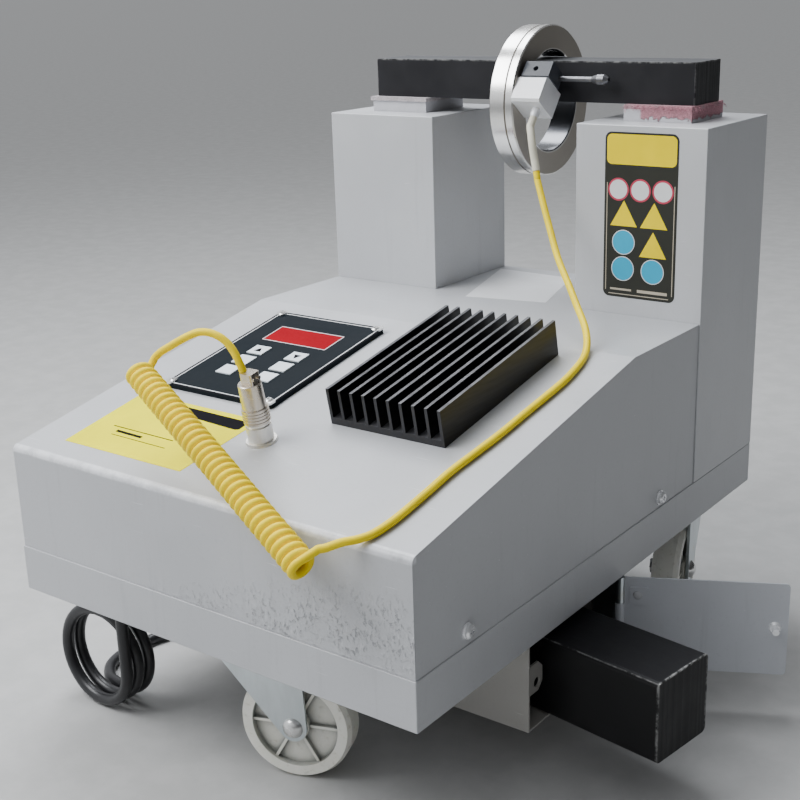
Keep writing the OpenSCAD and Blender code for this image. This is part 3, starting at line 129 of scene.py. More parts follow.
# materials
class Shade:
    """A node material with short names for the nodes that it uses."""

    def __init__(self, name):
        self.mat = bpy.data.materials.new(name)
        self.mat.use_nodes = True
        self.tree = self.mat.node_tree
        self.bsdf = self.tree.nodes["Principled BSDF"]
        self.coord = self.node("TexCoord").outputs["Object"]

    def node(self, kind, **props):
        n = self.tree.nodes.new("ShaderNode" + kind)
        for key, value in props.items():
            setattr(n, key, value)
        return n

    def feed(self, socket, value):
        """Links a socket's output, or sets a constant value."""
        if isinstance(value, bpy.types.NodeSocket):
            self.tree.links.new(value, socket)
            return
        if isinstance(value, tuple) and len(value) == 3 and socket.type == "RGBA":
            value = (*value, 1.0)
        socket.default_value = value

    def noise(self, scale, detail=4.0, rough=0.6, coord=None, stretch=None):
        vec = coord or self.coord
        if stretch:
            m = self.node("Mapping")
            self.feed(m.inputs["Vector"], vec)
            m.inputs["Scale"].default_value = stretch
            vec = m.outputs["Vector"]
        n = self.node("TexNoise")
        self.feed(n.inputs["Vector"], vec)
        n.inputs["Scale"].default_value = scale
        n.inputs["Detail"].default_value = detail
        n.inputs["Roughness"].default_value = rough
        return n.outputs["Fac"]

    def span(self, value, lo, hi, to_lo=0.0, to_hi=1.0):
        """A smooth step from to_lo, where the value is lo, up or down to to_hi."""
        n = self.node("MapRange", interpolation_type="SMOOTHSTEP")
        self.feed(n.inputs["Value"], value)
        n.inputs["From Min"].default_value = lo
        n.inputs["From Max"].default_value = hi
        n.inputs["To Min"].default_value = to_lo
        n.inputs["To Max"].default_value = to_hi
        return n.outputs["Result"]

    def calc(self, operation, a, b=None):
        n = self.node("Math", operation=operation)
        self.feed(n.inputs[0], a)
        if b is not None:
            self.feed(n.inputs[1], b)
        return n.outputs[0]

    def times(self, a, b):
        return self.calc("MULTIPLY", a, b)

    def plus(self, a, b):
        return self.calc("ADD", a, b)

    def minus(self, a, b):
        return self.calc("SUBTRACT", a, b)

    def larger(self, a, b):
        return self.calc("MAXIMUM", a, b)

    def mix(self, fac, a, b):
        n = self.node("Mix", data_type="RGBA")
        self.feed(n.inputs["Factor"], fac)
        self.feed(n.inputs[6], a)
        self.feed(n.inputs[7], b)
        return n.outputs[2]

    def axis(self, name):
        n = self.node("SeparateXYZ")
        self.feed(n.inputs[0], self.coord)
        return n.outputs[name]

    def vector(self, x, y=0.0):
        n = self.node("CombineXYZ")
        self.feed(n.inputs[0], x)
        self.feed(n.inputs[1], y)
        return n.outputs[0]

    def facing(self, name):
        """How squarely the surface faces along an axis, either way."""
        n = self.node("SeparateXYZ")
        self.feed(n.inputs[0], self.node("NewGeometry").outputs["Normal"])
        return self.calc("ABSOLUTE", n.outputs[name])

    def open_to(self, distance):
        """How open the surface lies, from 0 in a deep hollow to 1."""
        n = self.node("AmbientOcclusion", only_local=True)
        n.samples = 4
        n.inputs["Distance"].default_value = distance
        return n.outputs["AO"]

    def bump(self, height, strength, distance, under=None):
        n = self.node("Bump")
        n.inputs["Strength"].default_value = strength
        n.inputs["Distance"].default_value = distance
        self.feed(n.inputs["Height"], height)
        if under is not None:
            self.feed(n.inputs["Normal"], under)
        return n.outputs["Normal"]

    def done(self, color, rough, metal, normal, **extra):
        self.feed(self.bsdf.inputs["Base Color"], color)
        self.feed(self.bsdf.inputs["Roughness"], rough)
        self.feed(self.bsdf.inputs["Metallic"], metal)
        self.feed(self.bsdf.inputs["Normal"], normal)
        for key, value in extra.items():
            self.bsdf.inputs[key.replace("_", " ")].default_value = value
        return self.mat


def tint(color, factor, lift=0.0):
    return tuple(c * factor + lift for c in color)


# where the front wall's paint is crumbled and where its top fold carries a painted highlight, in metres:
# depths behind its face, rises off its seam and its top, and the crumbled patch's top edge, which climbs from
# left to right
WALL_DEPTHS, FOLD_DEPTHS = (0.00085, 0.00205), (0.00415, 0.00565)
SEAM_RISES, FOLD_RISES = (-0.0010, 0.0015), (-0.0049, -0.0029)
PATCH_X, PATCH_TOP, PATCH_FADE = (-0.14, 0.12), (0.146, 0.196), (-0.034, 0.006)


def step_from(s, axis, place, offsets, *ends):
    """A smooth step between two offsets from a place on an axis."""
    return s.span(s.axis(axis), place + offsets[0], place + offsets[1], *ends)


def crumbled(s):
    """Crumbled paint over the seam of the front wall: the patch, its crumbs and its flakes."""
    front = step_from(s, "Y", at(0, 0, 0).y, WALL_DEPTHS, 1.0, 0.0)
    above_seam = step_from(s, "Z", at(0, 0, TRAY_H).z, SEAM_RISES)
    top = s.span(s.axis("X"), *PATCH_X, *PATCH_TOP)
    below_top = s.span(s.minus(s.axis("Z"), top), *PATCH_FADE, 1.0, 0.0)
    where = s.span(s.noise(46.0, 5.0, 0.7), 0.36, 0.58)
    patch = s.times(s.times(front, s.times(above_seam, below_top)), where)
    crumb = s.noise(1.0, 4.0, 0.65, stretch=(430.0, 430.0, 230.0))
    return patch, crumb, s.times(patch, s.span(crumb, 0.55, 0.64))


def fold_highlight(s):
    """The fold at the top of the front wall, where a bright highlight is painted."""
    front = step_from(s, "Y", at(0, 0, 0).y, FOLD_DEPTHS, 1.0, 0.0)
    upper = step_from(s, "Z", at(0, 0, FRONT_H).z, FOLD_RISES)
    return s.times(s.times(front, upper), s.span(s.noise(60.0, 5.0, 0.7), 0.35, 0.6, 0.25, 0.85))


def grey_paint(name, base):
    """Enamel on sheet metal, with dust, scratches, the crumbled paint of the front wall and a painted
    highlight on its top fold.
    """
    s = Shade(name)
    broad = s.noise(7.0, 3.0)
    fine = s.noise(420.0, 2.0)
    color = s.mix(s.span(broad, 0.35, 0.7), tint(base, 0.94), tint(base, 1.04))
    color = s.mix(s.span(fine, 0.55, 0.75, 0.0, 0.18), color, tint(base, 0.72))
    patch, crumb, flakes = crumbled(s)
    color = s.mix(s.times(flakes, 0.42), color, (0.20, 0.20, 0.23))
    color = s.mix(s.times(patch, s.span(crumb, 0.36, 0.44, 0.35, 0.0)), color, (0.66, 0.67, 0.70))
    # painted highlight along the rounded fold at the top of the front wall
    color = s.mix(fold_highlight(s), color, (0.78, 0.79, 0.82))
    # faint streaks of dust on upright walls, and thin scratches
    streak = s.noise(1.0, 4.0, 0.6, stretch=(120.0, 120.0, 9.0))
    color = s.mix(s.span(streak, 0.58, 0.75, 0.0, 0.16), color, tint(base, 0.62))
    scratch = s.noise(1.0, 2.0, 0.5, stretch=(30.0, 700.0, 700.0))
    color = s.mix(s.span(scratch, 0.72, 0.76, 0.0, 0.35), color, (0.80, 0.80, 0.82))
    peel = s.bump(s.noise(700.0, 2.0, 0.5), 0.10, 0.0004)
    wave = s.bump(s.noise(9.0, 2.0, 0.5), 0.12, 0.004, peel)
    relief = s.bump(s.minus(s.times(patch, crumb), flakes), 0.9, 0.0009, wave)
    rough = s.span(broad, 0.3, 0.7, 0.34, 0.46)
    return s.done(color, rough, 0.0, relief, Coat_Weight=0.15, Coat_Roughness=0.25)


def leg_sheets(name, base, pink):
    """Painted legs; the right one has pink felt pressed over the upper part of its front."""
    felt_left, felt_foot, felt_fade = (0.0565, 0.0590), (0.4115, 0.4155), (-0.0006, 0.0006)
    s = Shade(name)
    fibre = s.noise(900.0, 6.0, 0.8)
    ragged = s.noise(150.0, 5.0, 0.7)
    color = s.mix(s.span(s.noise(60.0, 5.0), 0.35, 0.7), tint(base, 0.9), base)
    low = s.span(ragged, 0.3, 0.7, *felt_foot)
    over = s.times(s.span(s.minus(s.axis("Z"), low), *felt_fade), s.span(s.axis("X"), *felt_left))
    cloth = s.mix(s.span(fibre, 0.35, 0.65), pink, tint(pink, 0.6))
    fluff = s.bump(s.times(over, s.plus(fibre, 0.6)), 0.9, 0.0012)
    return s.done(s.mix(over, color, cloth), 0.75, 0.0, fluff)


def metal(name, base, rough, grain=(400.0, 40.0, 40.0), stain=0.2, dark=(0.25, 0.23, 0.2)):
    """Bare or plated metal with fine lines along its grain and dull stains."""
    s = Shade(name)
    lines = s.noise(1.0, 3.0, 0.6, stretch=grain)
    broad = s.noise(38.0, 5.0)
    color = s.mix(s.span(lines, 0.3, 0.7), tint(base, 0.9), base)
    color = s.mix(s.span(broad, 0.55, 0.8, 0.0, stain), color, dark)
    return s.done(color, s.span(broad, 0.3, 0.7, rough, rough + 0.1), 1.0, s.bump(lines, 0.15, 0.0002))


def plastic(name, base, rough, peel=0.08, dirt=0.12, scale=500.0, metallic=0.0, **extra):
    """Moulded or lacquered surface with a fine peel and a little dirt."""
    s = Shade(name)
    broad = s.noise(30.0, 5.0)
    fine = s.noise(scale, 2.0)
    color = s.mix(s.span(broad, 0.35, 0.7), tint(base, 0.9), base)
    color = s.mix(s.span(broad, 0.6, 0.8, 0.0, dirt), color, tint(base, 0.5, 0.03))
    gloss = s.span(fine, 0.3, 0.7, rough - 0.04, rough + 0.06)
    return s.done(color, gloss, metallic, s.bump(fine, peel, 0.0003), **extra)


def anodised(name, base, edge):
    """Black anodised fins with painted highlights on their narrow tops and on their faces along Y."""
    s = Shade(name)
    lines = s.noise(1.0, 3.0, 0.6, stretch=(500.0, 30.0, 500.0))
    rubbed = s.span(s.noise(60.0, 4.0), 0.3, 0.7, 0.45, 1.0)
    color = s.mix(s.span(lines, 0.3, 0.7), base, tint(base, 2.5))
    # painted highlights: faces along Y lightened evenly, and the fin tops lightened with a noisy spread
    color = s.mix(s.times(s.span(s.facing("Y"), 0.7, 0.95), 0.26), color, edge)
    color = s.mix(s.times(s.span(s.facing("Z"), 0.7, 0.95), rubbed), color, edge)
    return s.done(color, 0.34, 0.6, s.bump(lines, 0.15, 0.0002))


def felt(name, base, other):
    s = Shade(name)
    fibre = s.noise(900.0, 6.0, 0.8)
    broad = s.noise(120.0, 4.0)
    color = s.mix(s.span(fibre, 0.35, 0.65), base, other)
    color = s.mix(s.span(broad, 0.45, 0.7, 0.0, 0.5), color, (0.30, 0.26, 0.26))
    return s.done(color, 0.95, 0.0, s.bump(fibre, 0.9, 0.001), Sheen_Weight=0.3)


# how wide the laminated stacks' corners are rubbed bright
CORNER = 0.0016


def laminated(name, angle, along, across, top_z, wear, base, rough, top_base):
    """Black varnished stack of sheets. along and across give its middle and half size each way, in metres."""
    s = Shade(name)
    c, q = math.cos(angle), math.sin(angle)
    x, y, z = s.axis("X"), s.axis("Y"), s.axis("Z")
    u = s.plus(s.times(x, c), s.times(y, q))
    v = s.plus(s.times(x, -q), s.times(y, c))

    def near_end(place, middle, half, inner):
        return s.span(s.calc("ABSOLUTE", s.minus(place, middle)), half - CORNER, half - inner)

    sheet = s.noise(1.0, 1.0, 0.4, coord=s.vector(v), stretch=(1900.0, 1.0, 1.0))
    group = s.noise(1.0, 1.0, 0.4, coord=s.vector(v), stretch=(260.0, 1.0, 1.0))
    stack = s.plus(s.times(sheet, 0.4), group)
    broad = s.noise(24.0, 5.0)
    color = s.mix(s.span(broad, 0.4, 0.7), tint(base, 0.5), base)
    color = s.mix(s.span(stack, 0.66, 0.8, 0.0, 0.5), color, tint(base, 2.0))
    # upward faces take the colour top_base
    color = s.mix(s.span(s.facing("Z"), 0.7, 0.95), color, top_base)
    near_u = near_end(u, *along, 0.0003)
    near_v = near_end(v, *across, 0.0004)
    near_z = s.span(z, top_z - CORNER, top_z - 0.0004)
    edge = s.larger(s.times(s.times(near_u, near_v), 0.45), s.times(near_u, near_z))
    edge = s.larger(edge, s.times(near_v, near_z))
    edge = s.times(edge, s.span(s.noise(130.0, 5.0, 0.7), 0.40, 0.60, 0.0, wear))
    color = s.mix(edge, color, (0.55, 0.55, 0.54))
    depth = s.times(stack, s.span(s.facing("X"), 0.5, 0.8, 0.25, 1.0))
    relief = s.bump(depth, 0.55, 0.0008, s.bump(s.noise(260.0, 3.0), 0.12, 0.0005))
    gloss = s.span(broad, 0.3, 0.7, rough, rough + 0.16)
    return s.done(color, gloss, s.times(edge, 0.9), relief, Specular_IOR_Level=0.25)


def turned_steel(name, centre, bore, base):
    """Ground steel with turning marks: a bright rim, oily grey side faces and painted shade in the bore."""
    marks_per_metre = 2600.0
    s = Shade(name)
    y = s.minus(s.axis("Y"), centre.y)
    z = s.minus(s.axis("Z"), centre.z)
    r = s.calc("SQRT", s.plus(s.times(y, y), s.times(z, z)))
    marks_at = s.vector(s.times(r, marks_per_metre), s.times(s.axis("X"), marks_per_metre))
    marks = s.noise(1.0, 2.0, 0.5, coord=marks_at)
    broad = s.noise(30.0, 4.0)
    color = s.mix(s.span(marks, 0.3, 0.7), tint(base, 0.82), base)
    color = s.mix(s.span(broad, 0.5, 0.8, 0.0, 0.25), color, (0.36, 0.31, 0.26))
    side = s.times(s.span(s.facing("X"), 0.6, 0.9), s.span(r, bore + 0.001, bore + 0.002))
    color = s.mix(side, color, (0.40, 0.37, 0.33))
    # painted shade: dark in the bore and for about a millimetre round its edge
    color = s.mix(s.span(r, bore + 0.0003, bore + 0.001, 0.92, 0.0), color, (0.10, 0.105, 0.12))
    rough = s.plus(s.span(broad, 0.3, 0.7, 0.16, 0.26), s.times(side, 0.18))
    return s.done(color, rough, 1.0, s.bump(marks, 0.12, 0.0002))


def nylon(name):
    """Cream nylon with dirt, and painted shade in its hollows."""
    s = Shade(name)
    broad = s.noise(26.0, 5.0)
    fine = s.noise(240.0, 4.0)
    color = s.mix(s.span(broad, 0.35, 0.7), (0.84, 0.83, 0.74), (0.92, 0.91, 0.84))
    color = s.mix(s.span(fine, 0.55, 0.75, 0.0, 0.35), color, (0.42, 0.38, 0.26))
    color = s.mix(s.span(s.noise(60.0, 3.0), 0.58, 0.72, 0.0, 0.4), color, (0.36, 0.37, 0.30))
    # painted shade: darker in the wheel's own hollows, where shade falls
    color = s.mix(s.span(s.open_to(0.018), 0.45, 0.90, 0.85, 0.0), color, (0.13, 0.14, 0.13))
    return s.done(color, 0.42, 0.0, s.bump(fine, 0.1, 0.0005),
                  Subsurface_Weight=0.08, Subsurface_Radius=(0.004, 0.003, 0.002))


def winding(name):
    s = Shade(name)
    w = s.node("TexWave", wave_type="BANDS", bands_direction="Z")
    s.feed(w.inputs["Vector"], s.coord)
    w.inputs["Scale"].default_value = 160.0
    w.inputs["Distortion"].default_value = 0.4
    tape = w.outputs["Fac"]
    return s.done(s.mix(tape, (0.20, 0.10, 0.04), (0.42, 0.26, 0.12)), 0.45, 0.0, s.bump(tape, 0.6, 0.001))


def film(name, base, rough, shine=0.4):
    """Printed or plain film with faint creases and dust."""
    s = Shade(name)
    broad = s.noise(18.0, 4.0)
    fine = s.noise(600.0, 3.0)
    color = s.mix(s.span(broad, 0.35, 0.7), tint(base, 0.9), base)
    color = s.mix(s.span(fine, 0.62, 0.78, 0.0, 0.2), color, tint(base, 0.7, 0.03))
    normal = s.bump(fine, 0.06, 0.0002, s.bump(broad, 0.2, 0.002))
    return s.done(color, s.span(broad, 0.3, 0.7, rough, rough + 0.12), 0.0, normal, Specular_IOR_Level=shine)


MATS = {}


def finish(slot_name, make, *look, **extra):
    """The finish of one of the record's material slots."""
    MATS[slot_name] = make(slot_name, *look, **extra)


PINK = (0.62, 0.30, 0.35)
RING_CENTRE = at(188.0, 422.6, 315.4)
RING_BORE = 40.0
finish("light_grey_paint", grey_paint, (0.47, 0.48, 0.50))
finish("core_paint", leg_sheets, (0.56, 0.56, 0.59), PINK)
finish("bright_screws", metal, (0.78, 0.78, 0.77), 0.22, grain=(300.0, 300.0, 300.0), stain=0.3)
finish("winding_tape", winding)
finish("dark_bracket", plastic, (0.05, 0.05, 0.055), 0.5)
finish("left_pad_felt", felt, (0.60, 0.55, 0.56), (0.42, 0.38, 0.40))
finish("right_pad_felt", felt, PINK, (0.40, 0.15, 0.20))
finish("board_green", plastic, (0.02, 0.16, 0.06), 0.3)
finish("display_black", plastic, (0.03, 0.03, 0.03), 0.4)
finish("module_black", plastic, (0.03, 0.03, 0.035), 0.4)
finish("transformer_steel", metal, (0.22, 0.22, 0.23), 0.45)
finish("strip_cream", plastic, (0.70, 0.66, 0.54), 0.4)
finish("panel_film", film, (0.007, 0.011, 0.015), 0.45, shine=0.05)
finish("window_red", plastic, (0.30, 0.0, 0.008), 0.5, peel=0.02, dirt=0.05, Specular_IOR_Level=0.03)
finish("key_white", plastic, (0.80, 0.86, 0.92), 0.40, peel=0.05, dirt=0.06)
# the second colour is the painted highlight on the fins
finish("sink_black", anodised, (0.006, 0.006, 0.007), (0.13, 0.13, 0.14))
finish("nickel", metal, (0.66, 0.60, 0.52), 0.22, grain=(400.0, 400.0, 60.0), stain=0.3)
finish("bearing_steel", turned_steel, RING_CENTRE, RING_BORE / 1000, (0.95, 0.94, 0.92))
finish("probe_metal", plastic, (0.88, 0.89, 0.91), 0.38, peel=0.05, dirt=0.05, metallic=0.15)
finish("holder_black", plastic, (0.055, 0.06, 0.072), 0.38)
finish("zinc_plate", metal, (0.62, 0.67, 0.69), 0.30, grain=(90.0, 90.0, 30.0), stain=0.6,
       dark=(0.62, 0.52, 0.36))
finish("nylon_cream", nylon)
finish("lead_black", plastic, (0.012, 0.012, 0.014), 0.34, peel=0.06, dirt=0.1)
finish("cable_yellow", plastic, (1.0, 0.76, 0.0), 0.40, peel=0.04, dirt=0.05, scale=300.0,
       Specular_IOR_Level=0.18)
finish("sleeve_cream", plastic, (0.74, 0.71, 0.58), 0.5, peel=0.2, dirt=0.2)


def crossbar_black():
    """Varnish of the crossbar, with its upper faces a lighter grey."""
    lo, hi = (Vector(p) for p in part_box("crossbar"))
    mid, half = (lo + hi) / 2, (hi - lo) / 2
    return laminated("laminated_bar", 0.0, (mid.x, half.x), (mid.y, half.y), hi.z, 0.35,
                     (0.011, 0.011, 0.013), 0.36, (0.065, 0.067, 0.072))


YOKE_OUT, YOKE_Y, YOKE_Z = 85.9, 170.0, -67.5
YOKE_SKEW = math.radians(-8.6)
YOKE_HALF_L, YOKE_HALF_W = 149.0, 27.5


def spare_black():
    """Varnish of the spare yoke, with its corners rubbed bright. It lies askew in its box."""
    end = at(BODY_W + YOKE_OUT, YOKE_Y, YOKE_Z)
    end_u = end.x * math.cos(YOKE_SKEW) + end.y * math.sin(YOKE_SKEW)
    end_v = -end.x * math.sin(YOKE_SKEW) + end.y * math.cos(YOKE_SKEW)
    half_l, half_w = YOKE_HALF_L / 1000, YOKE_HALF_W / 1000
    top_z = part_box("spare_yoke")[1][2]
    return laminated("laminated_spare", YOKE_SKEW, (end_u - half_l, half_l), (end_v, half_w), top_z, 0.95,
                     (0.010, 0.010, 0.011), 0.46, (0.009, 0.009, 0.011))


MATS["laminated_black"] = crossbar_black()
# nodes whose finish in the photograph differs from the rest of their slot, and the pillars, whose lighter
# paint is painted light
pale_screw = plastic("pale_screw", (0.97, 0.98, 1.0), 0.20, peel=0.03, dirt=0.05, metallic=0.5)
# painted light: a lighter copy of the grey paint, standing in for the brighter light on the pillars
pillar_lit_paint = grey_paint("pillar_lit_paint", (0.54, 0.55, 0.57))
door_paint = grey_paint("door_paint", (0.53, 0.55, 0.59))
lever_steel = metal("lever_steel", (0.16, 0.16, 0.17), 0.32, grain=(300.0, 300.0, 300.0), stain=0.3)
socket_satin = metal("socket_satin", (0.86, 0.84, 0.80), 0.36, grain=(300.0, 300.0, 60.0), stain=0.12)
OWN_MATS = {
    "left_pillar": pillar_lit_paint,
    "right_pillar": pillar_lit_paint,
    "storage_box": grey_paint("box_paint", (0.32, 0.31, 0.29)),
    "storage_door": door_paint,
    "door_screw": pale_screw,
    "cover_screws": pale_screw,
    "spare_yoke": spare_black(),
    "probe_lever": lever_steel,
    "connector_socket": socket_satin,
}
for part in frame["record"]["subparts"]:
    slots = NODES[part["node"]].data.materials
    slots.clear()
    slots.append(OWN_MATS.get(part["node"], MATS[part["material_slot"]]))


# folded and cut edges
FOLD_R, SHEET_R, BLOCK_R, BAR_R = 0.7, 0.4, 0.6, 0.8
WELD_GAP = 0.01
SHARP_ANGLE = math.radians(40)
SOFT_EDGES = {
    "base_tray": FOLD_R, "deck_cover": FOLD_R, "left_pillar": FOLD_R, "right_pillar": FOLD_R,
    "crossbar": BAR_R, "storage_door": SHEET_R, "storage_box": SHEET_R, "probe_magnet": BLOCK_R,
}


def soften(name, radius):
    """A small round on the sharp edges, on top of the CAD mesh."""
    obj = NODES[name]
    weld = obj.modifiers.new("weld", "WELD")
    weld.merge_threshold = WELD_GAP / 1000
    bevel = obj.modifiers.new("bevel", "BEVEL")
    bevel.width = radius / 1000
    bevel.segments = 2
    bevel.limit_method = "ANGLE"
    bevel.angle_limit = SHARP_ANGLE
    bevel.harden_normals = True


for name, radius in SOFT_EDGES.items():
    soften(name, radius)


# cords, with the routes of part.scad in its millimetres
LIE = 0.4
WIRE_R = 2.6
SLEEVE_R = 3.0
LEAD_R = 4.5


def catmull(p, n):
    """A smooth line through the points p, in n steps between each two."""
    out = []
    for i in range(len(p) - 1):
        a, b, c, d = p[max(i - 1, 0)], p[i], p[i + 1], p[min(i + 2, len(p) - 1)]
        for j in range(n):
            t = j / n
            bend = (2 * a - 5 * b + 4 * c - d) * t * t + (3 * b - a - 3 * c + d) * t ** 3
            out.append(0.5 * (2 * b + (c - a) * t + bend))
    out.append(p[-1])
    return out


# pale sleeve, from the tip of the probe's gland downwards
PROBE_TILT = math.radians(37)
GLAND_ROOT = Vector((205.7, 376.4, 322.61))
GLAND_REACH = 18.0
SLEEVE_FALL = Vector((10.6, -13.6, -39.3))
SLEEVE_WAY = Vector((0.3, -0.21, -0.93)).normalized()
SLEEVE_STEPS = ((2.6, -8, -12.4), (4.7, -10, -19), (6.6, -11.1, -26.5))
gland_way = Vector((0, -math.sin(PROBE_TILT), -math.cos(PROBE_TILT)))
sleeve_start = GLAND_ROOT + GLAND_REACH * gland_way
sleeve_end = sleeve_start + SLEEVE_FALL
sleeve_route = (
    [sleeve_start + t * SLEEVE_R * gland_way for t in (0, 2, 2.8)]
    + [sleeve_start + Vector(d) for d in SLEEVE_STEPS]
    + [sleeve_end - t * SLEEVE_R * SLEEVE_WAY for t in (3, 2, 0)]
)


def on_deck(x, y):
    """The wire's middle where it lies on the deck."""
    z = FRONT_H + y * math.tan(SLOPE) if y < KNEE_Y else DECK_H
    return Vector((x, y, z + (WIRE_R + LIE) / math.cos(SLOPE)))


# curly part of the probe cable
WIRE_X = BODY_W - 30
CURL_R = 7.15
CURL_COUNT = 34
CURL_SWEEP = 360 * CURL_COUNT + 208
CURL_ANGLE = 30
CURL_RING_STEPS = 24
CURL_TOP = Vector((105, 31, FRONT_H + 62.6))
CURL_FOOT = Vector((WIRE_X - 31.8, -21, FRONT_H - 11.9))
curl_way = (CURL_FOOT - CURL_TOP).normalized()
curl_u = Vector((0, 0, 1)).cross(curl_way).normalized()
curl_v = curl_way.cross(curl_u)
curl_pitch = (CURL_FOOT - CURL_TOP).length * 360 / CURL_SWEEP


def curl_at(a):
    c, q = cos_sin(a + CURL_ANGLE)
    return CURL_TOP + curl_way * curl_pitch * a / 360 + CURL_R * (c * curl_u - q * curl_v)


curl_steps = (CURL_COUNT + 1) * CURL_RING_STEPS
curl_arc = [curl_at(CURL_SWEEP * i / curl_steps) for i in range(curl_steps + 1)]
curl_in = (curl_at(1) - curl_at(0)).normalized()
curl_out = (curl_at(CURL_SWEEP) - curl_at(CURL_SWEEP - 1)).normalized()
curl_first = curl_arc[0] - 2 * WIRE_R * curl_in
curl_last = curl_arc[-1] + 2 * WIRE_R * curl_out

# run from the sleeve down to the deck, over it and round its front edge to the curly part
FALL_SHARES = ((0.112, 0.082, 0.211), (0.198, 0.145, 0.342), (0.36, 0.28, 0.545), (0.56, 0.454, 0.693),
               (0.71, 0.599, 0.789), (0.831, 0.72, 0.858), (0.908, 0.812, 0.91), (0.963, 0.903, 0.962))
DECK_STEPS = ((0.8, 236), (3.4, 214), (3.4, 190), (2.8, 165), (2.2, 134.5), (0.6, 108.4), (-1.1, 83.3),
              (-0.8, 55.3), (-1, 27), (-3.4, 10))
EDGE_STEPS = ((-7.4, 0.2, 3.8), (-14, -7, 2.8), (-20.6, -13.4, 0.2))
run_land = on_deck(WIRE_X - 2.2, 248.5)
run_fall = run_land - sleeve_end
run_points = (
    [sleeve_end + t * WIRE_R * SLEEVE_WAY for t in (0, 2, 3)]
    + [sleeve_end + Vector((run_fall.x * x, run_fall.y * y, run_fall.z * z)) for x, y, z in FALL_SHARES]
    + [run_land]
    + [on_deck(WIRE_X + dx, y) for dx, y in DECK_STEPS]
    + [Vector((WIRE_X, 0, FRONT_H)) + Vector(d) for d in EDGE_STEPS]
    + [curl_last + t * WIRE_R * curl_out for t in (3, 2, 0)]
)

# arch from the connector's plug to the curly part
CONNECTOR_X, CONNECTOR_S, CONNECTOR_H = 169.0, 74.8, 43.5
ARCH_STEPS = ((166.2, 62.8, 181.2), (162.6, 62.2, 187.5), (158.2, 61, 192.8), (152.6, 59, 196.7),
              (146.2, 56.8, 198.5), (139.4, 54.4, 198), (132.2, 51.8, 194.9), (125.4, 49.2, 191),
              (119, 46.8, 187), (113.6, 44.8, 183.6))
plug_way = Vector((0, -math.sin(SLOPE), math.cos(SLOPE)))
plug_tip = Vector(slope_mm(CONNECTOR_X, CONNECTOR_S, CONNECTOR_H))
arch_points = (
    [plug_tip + t * WIRE_R * plug_way for t in (0, 2, 3)]
    + [Vector(p) for p in ARCH_STEPS]
    + [curl_first - t * WIRE_R * curl_in for t in (3, 2, 0)]
)
ARCH_SMOOTH, RUN_SMOOTH = 5, 6
probe_line = catmull(arch_points, ARCH_SMOOTH)[:-1] + curl_arc + catmull(run_points, RUN_SMOOTH)[::-1]

# mains lead: the loops under the front left corner
LOOP_R = 36.0
LOOP_TURNS = 2.25
LOOP_GAP = 2
LOOP_RING_STEPS = 48
DROP_STEPS = 6
FLOOR_Z = -CASTER_H + LEAD_R + LIE
GLAND = Vector((58, 34, -15))
loop_z = FLOOR_Z + LOOP_R
loop_step = 2 * LEAD_R + LOOP_GAP
loops = [Vector((GLAND.x, GLAND.y, GLAND.z + (loop_z - GLAND.z) * i / DROP_STEPS)) for i in range(DROP_STEPS)]
for i in range(int(LOOP_TURNS * LOOP_RING_STEPS) + 1):
    turns = i / LOOP_RING_STEPS
    c, q = cos_sin(360 * turns)
    loops.append(Vector((GLAND.x - LOOP_R + LOOP_R * c, GLAND.y + loop_step * turns, loop_z - LOOP_R * q)))
loops_end_y = GLAND.y + loop_step * LOOP_TURNS + loop_step / 20
loops_end = Vector((GLAND.x - LOOP_R - 2 * LEAD_R, loops_end_y, FLOOR_Z))

# mains lead: the coil of two flat layers behind the machine
COIL_R = 48
COIL_TURNS = 2
COIL_PITCH = 2 * LEAD_R * 1.14
COIL_LAYER = 2 * LEAD_R * 1.1
COIL_RISE = 90
COIL_SWEEP = 2 * 360 * COIL_TURNS + COIL_RISE
COIL_X, COIL_Y = 136.0, BODY_D + 98
coil_outer = COIL_R + COIL_PITCH
coil_inner = coil_outer - COIL_TURNS * COIL_PITCH


def flat_coil(a):
    """Inwards on the floor, up by a layer, and outwards again."""
    full = 360 * COIL_TURNS
    if a < full:
        r, z = coil_outer - COIL_PITCH * a / 360, 0.0
    elif a < full + COIL_RISE:
        r, z = coil_inner, COIL_LAYER * (1 - math.cos(math.pi * (a - full) / COIL_RISE)) / 2
    else:
        r, z = coil_inner + COIL_PITCH * (a - full - COIL_RISE) / 360, COIL_LAYER
    c, q = cos_sin(a)
    return Vector((COIL_X - r * c, COIL_Y + r * q, FLOOR_Z + z))


def coil_points(step):
    return [flat_coil(step * i) for i in range(int(COIL_SWEEP / step) + 1)]


# the ends' directions are those of the solid's coarser coil
COARSE_STEP, FINE_STEP = 15, 7.5
coarse = coil_points(COARSE_STEP)
coil_entry = (coarse[1] - coarse[0]).normalized()
coil_exit = (coarse[-1] - coarse[-2]).normalized()
coil_start = coarse[0] - 2 * LEAD_R * coil_entry
plug_at = coarse[-1] + 2 * LEAD_R * coil_exit
FLOOR_STEPS = ((-11, 76), (-17, 98), (-15, 124), (-3, 158), (20, 206), (48, 256), (76, 306),
               (100, 352), (117, 396), (125, 436), (123.5, 472), (110, 503), (91, 530))
run_route = (
    [loops_end, loops_end + Vector((-10, 3, 0))]
    + [Vector((x, y, FLOOR_Z)) for x, y in FLOOR_STEPS]
    + [coil_start - t * 2 * LEAD_R * coil_entry for t in (2, 1, 0)]
)
mains_line = loops + catmull(run_route, RUN_SMOOTH) + coil_points(FINE_STEP) + [plug_at]


def new_mesh(name, bm, mat, smooth=True):
    data = bpy.data.meshes.new(name)
    bm.to_mesh(data)
    bm.free()
    if smooth:
        data.shade_smooth()
    data.materials.append(mat)
    return add_object(name, data)


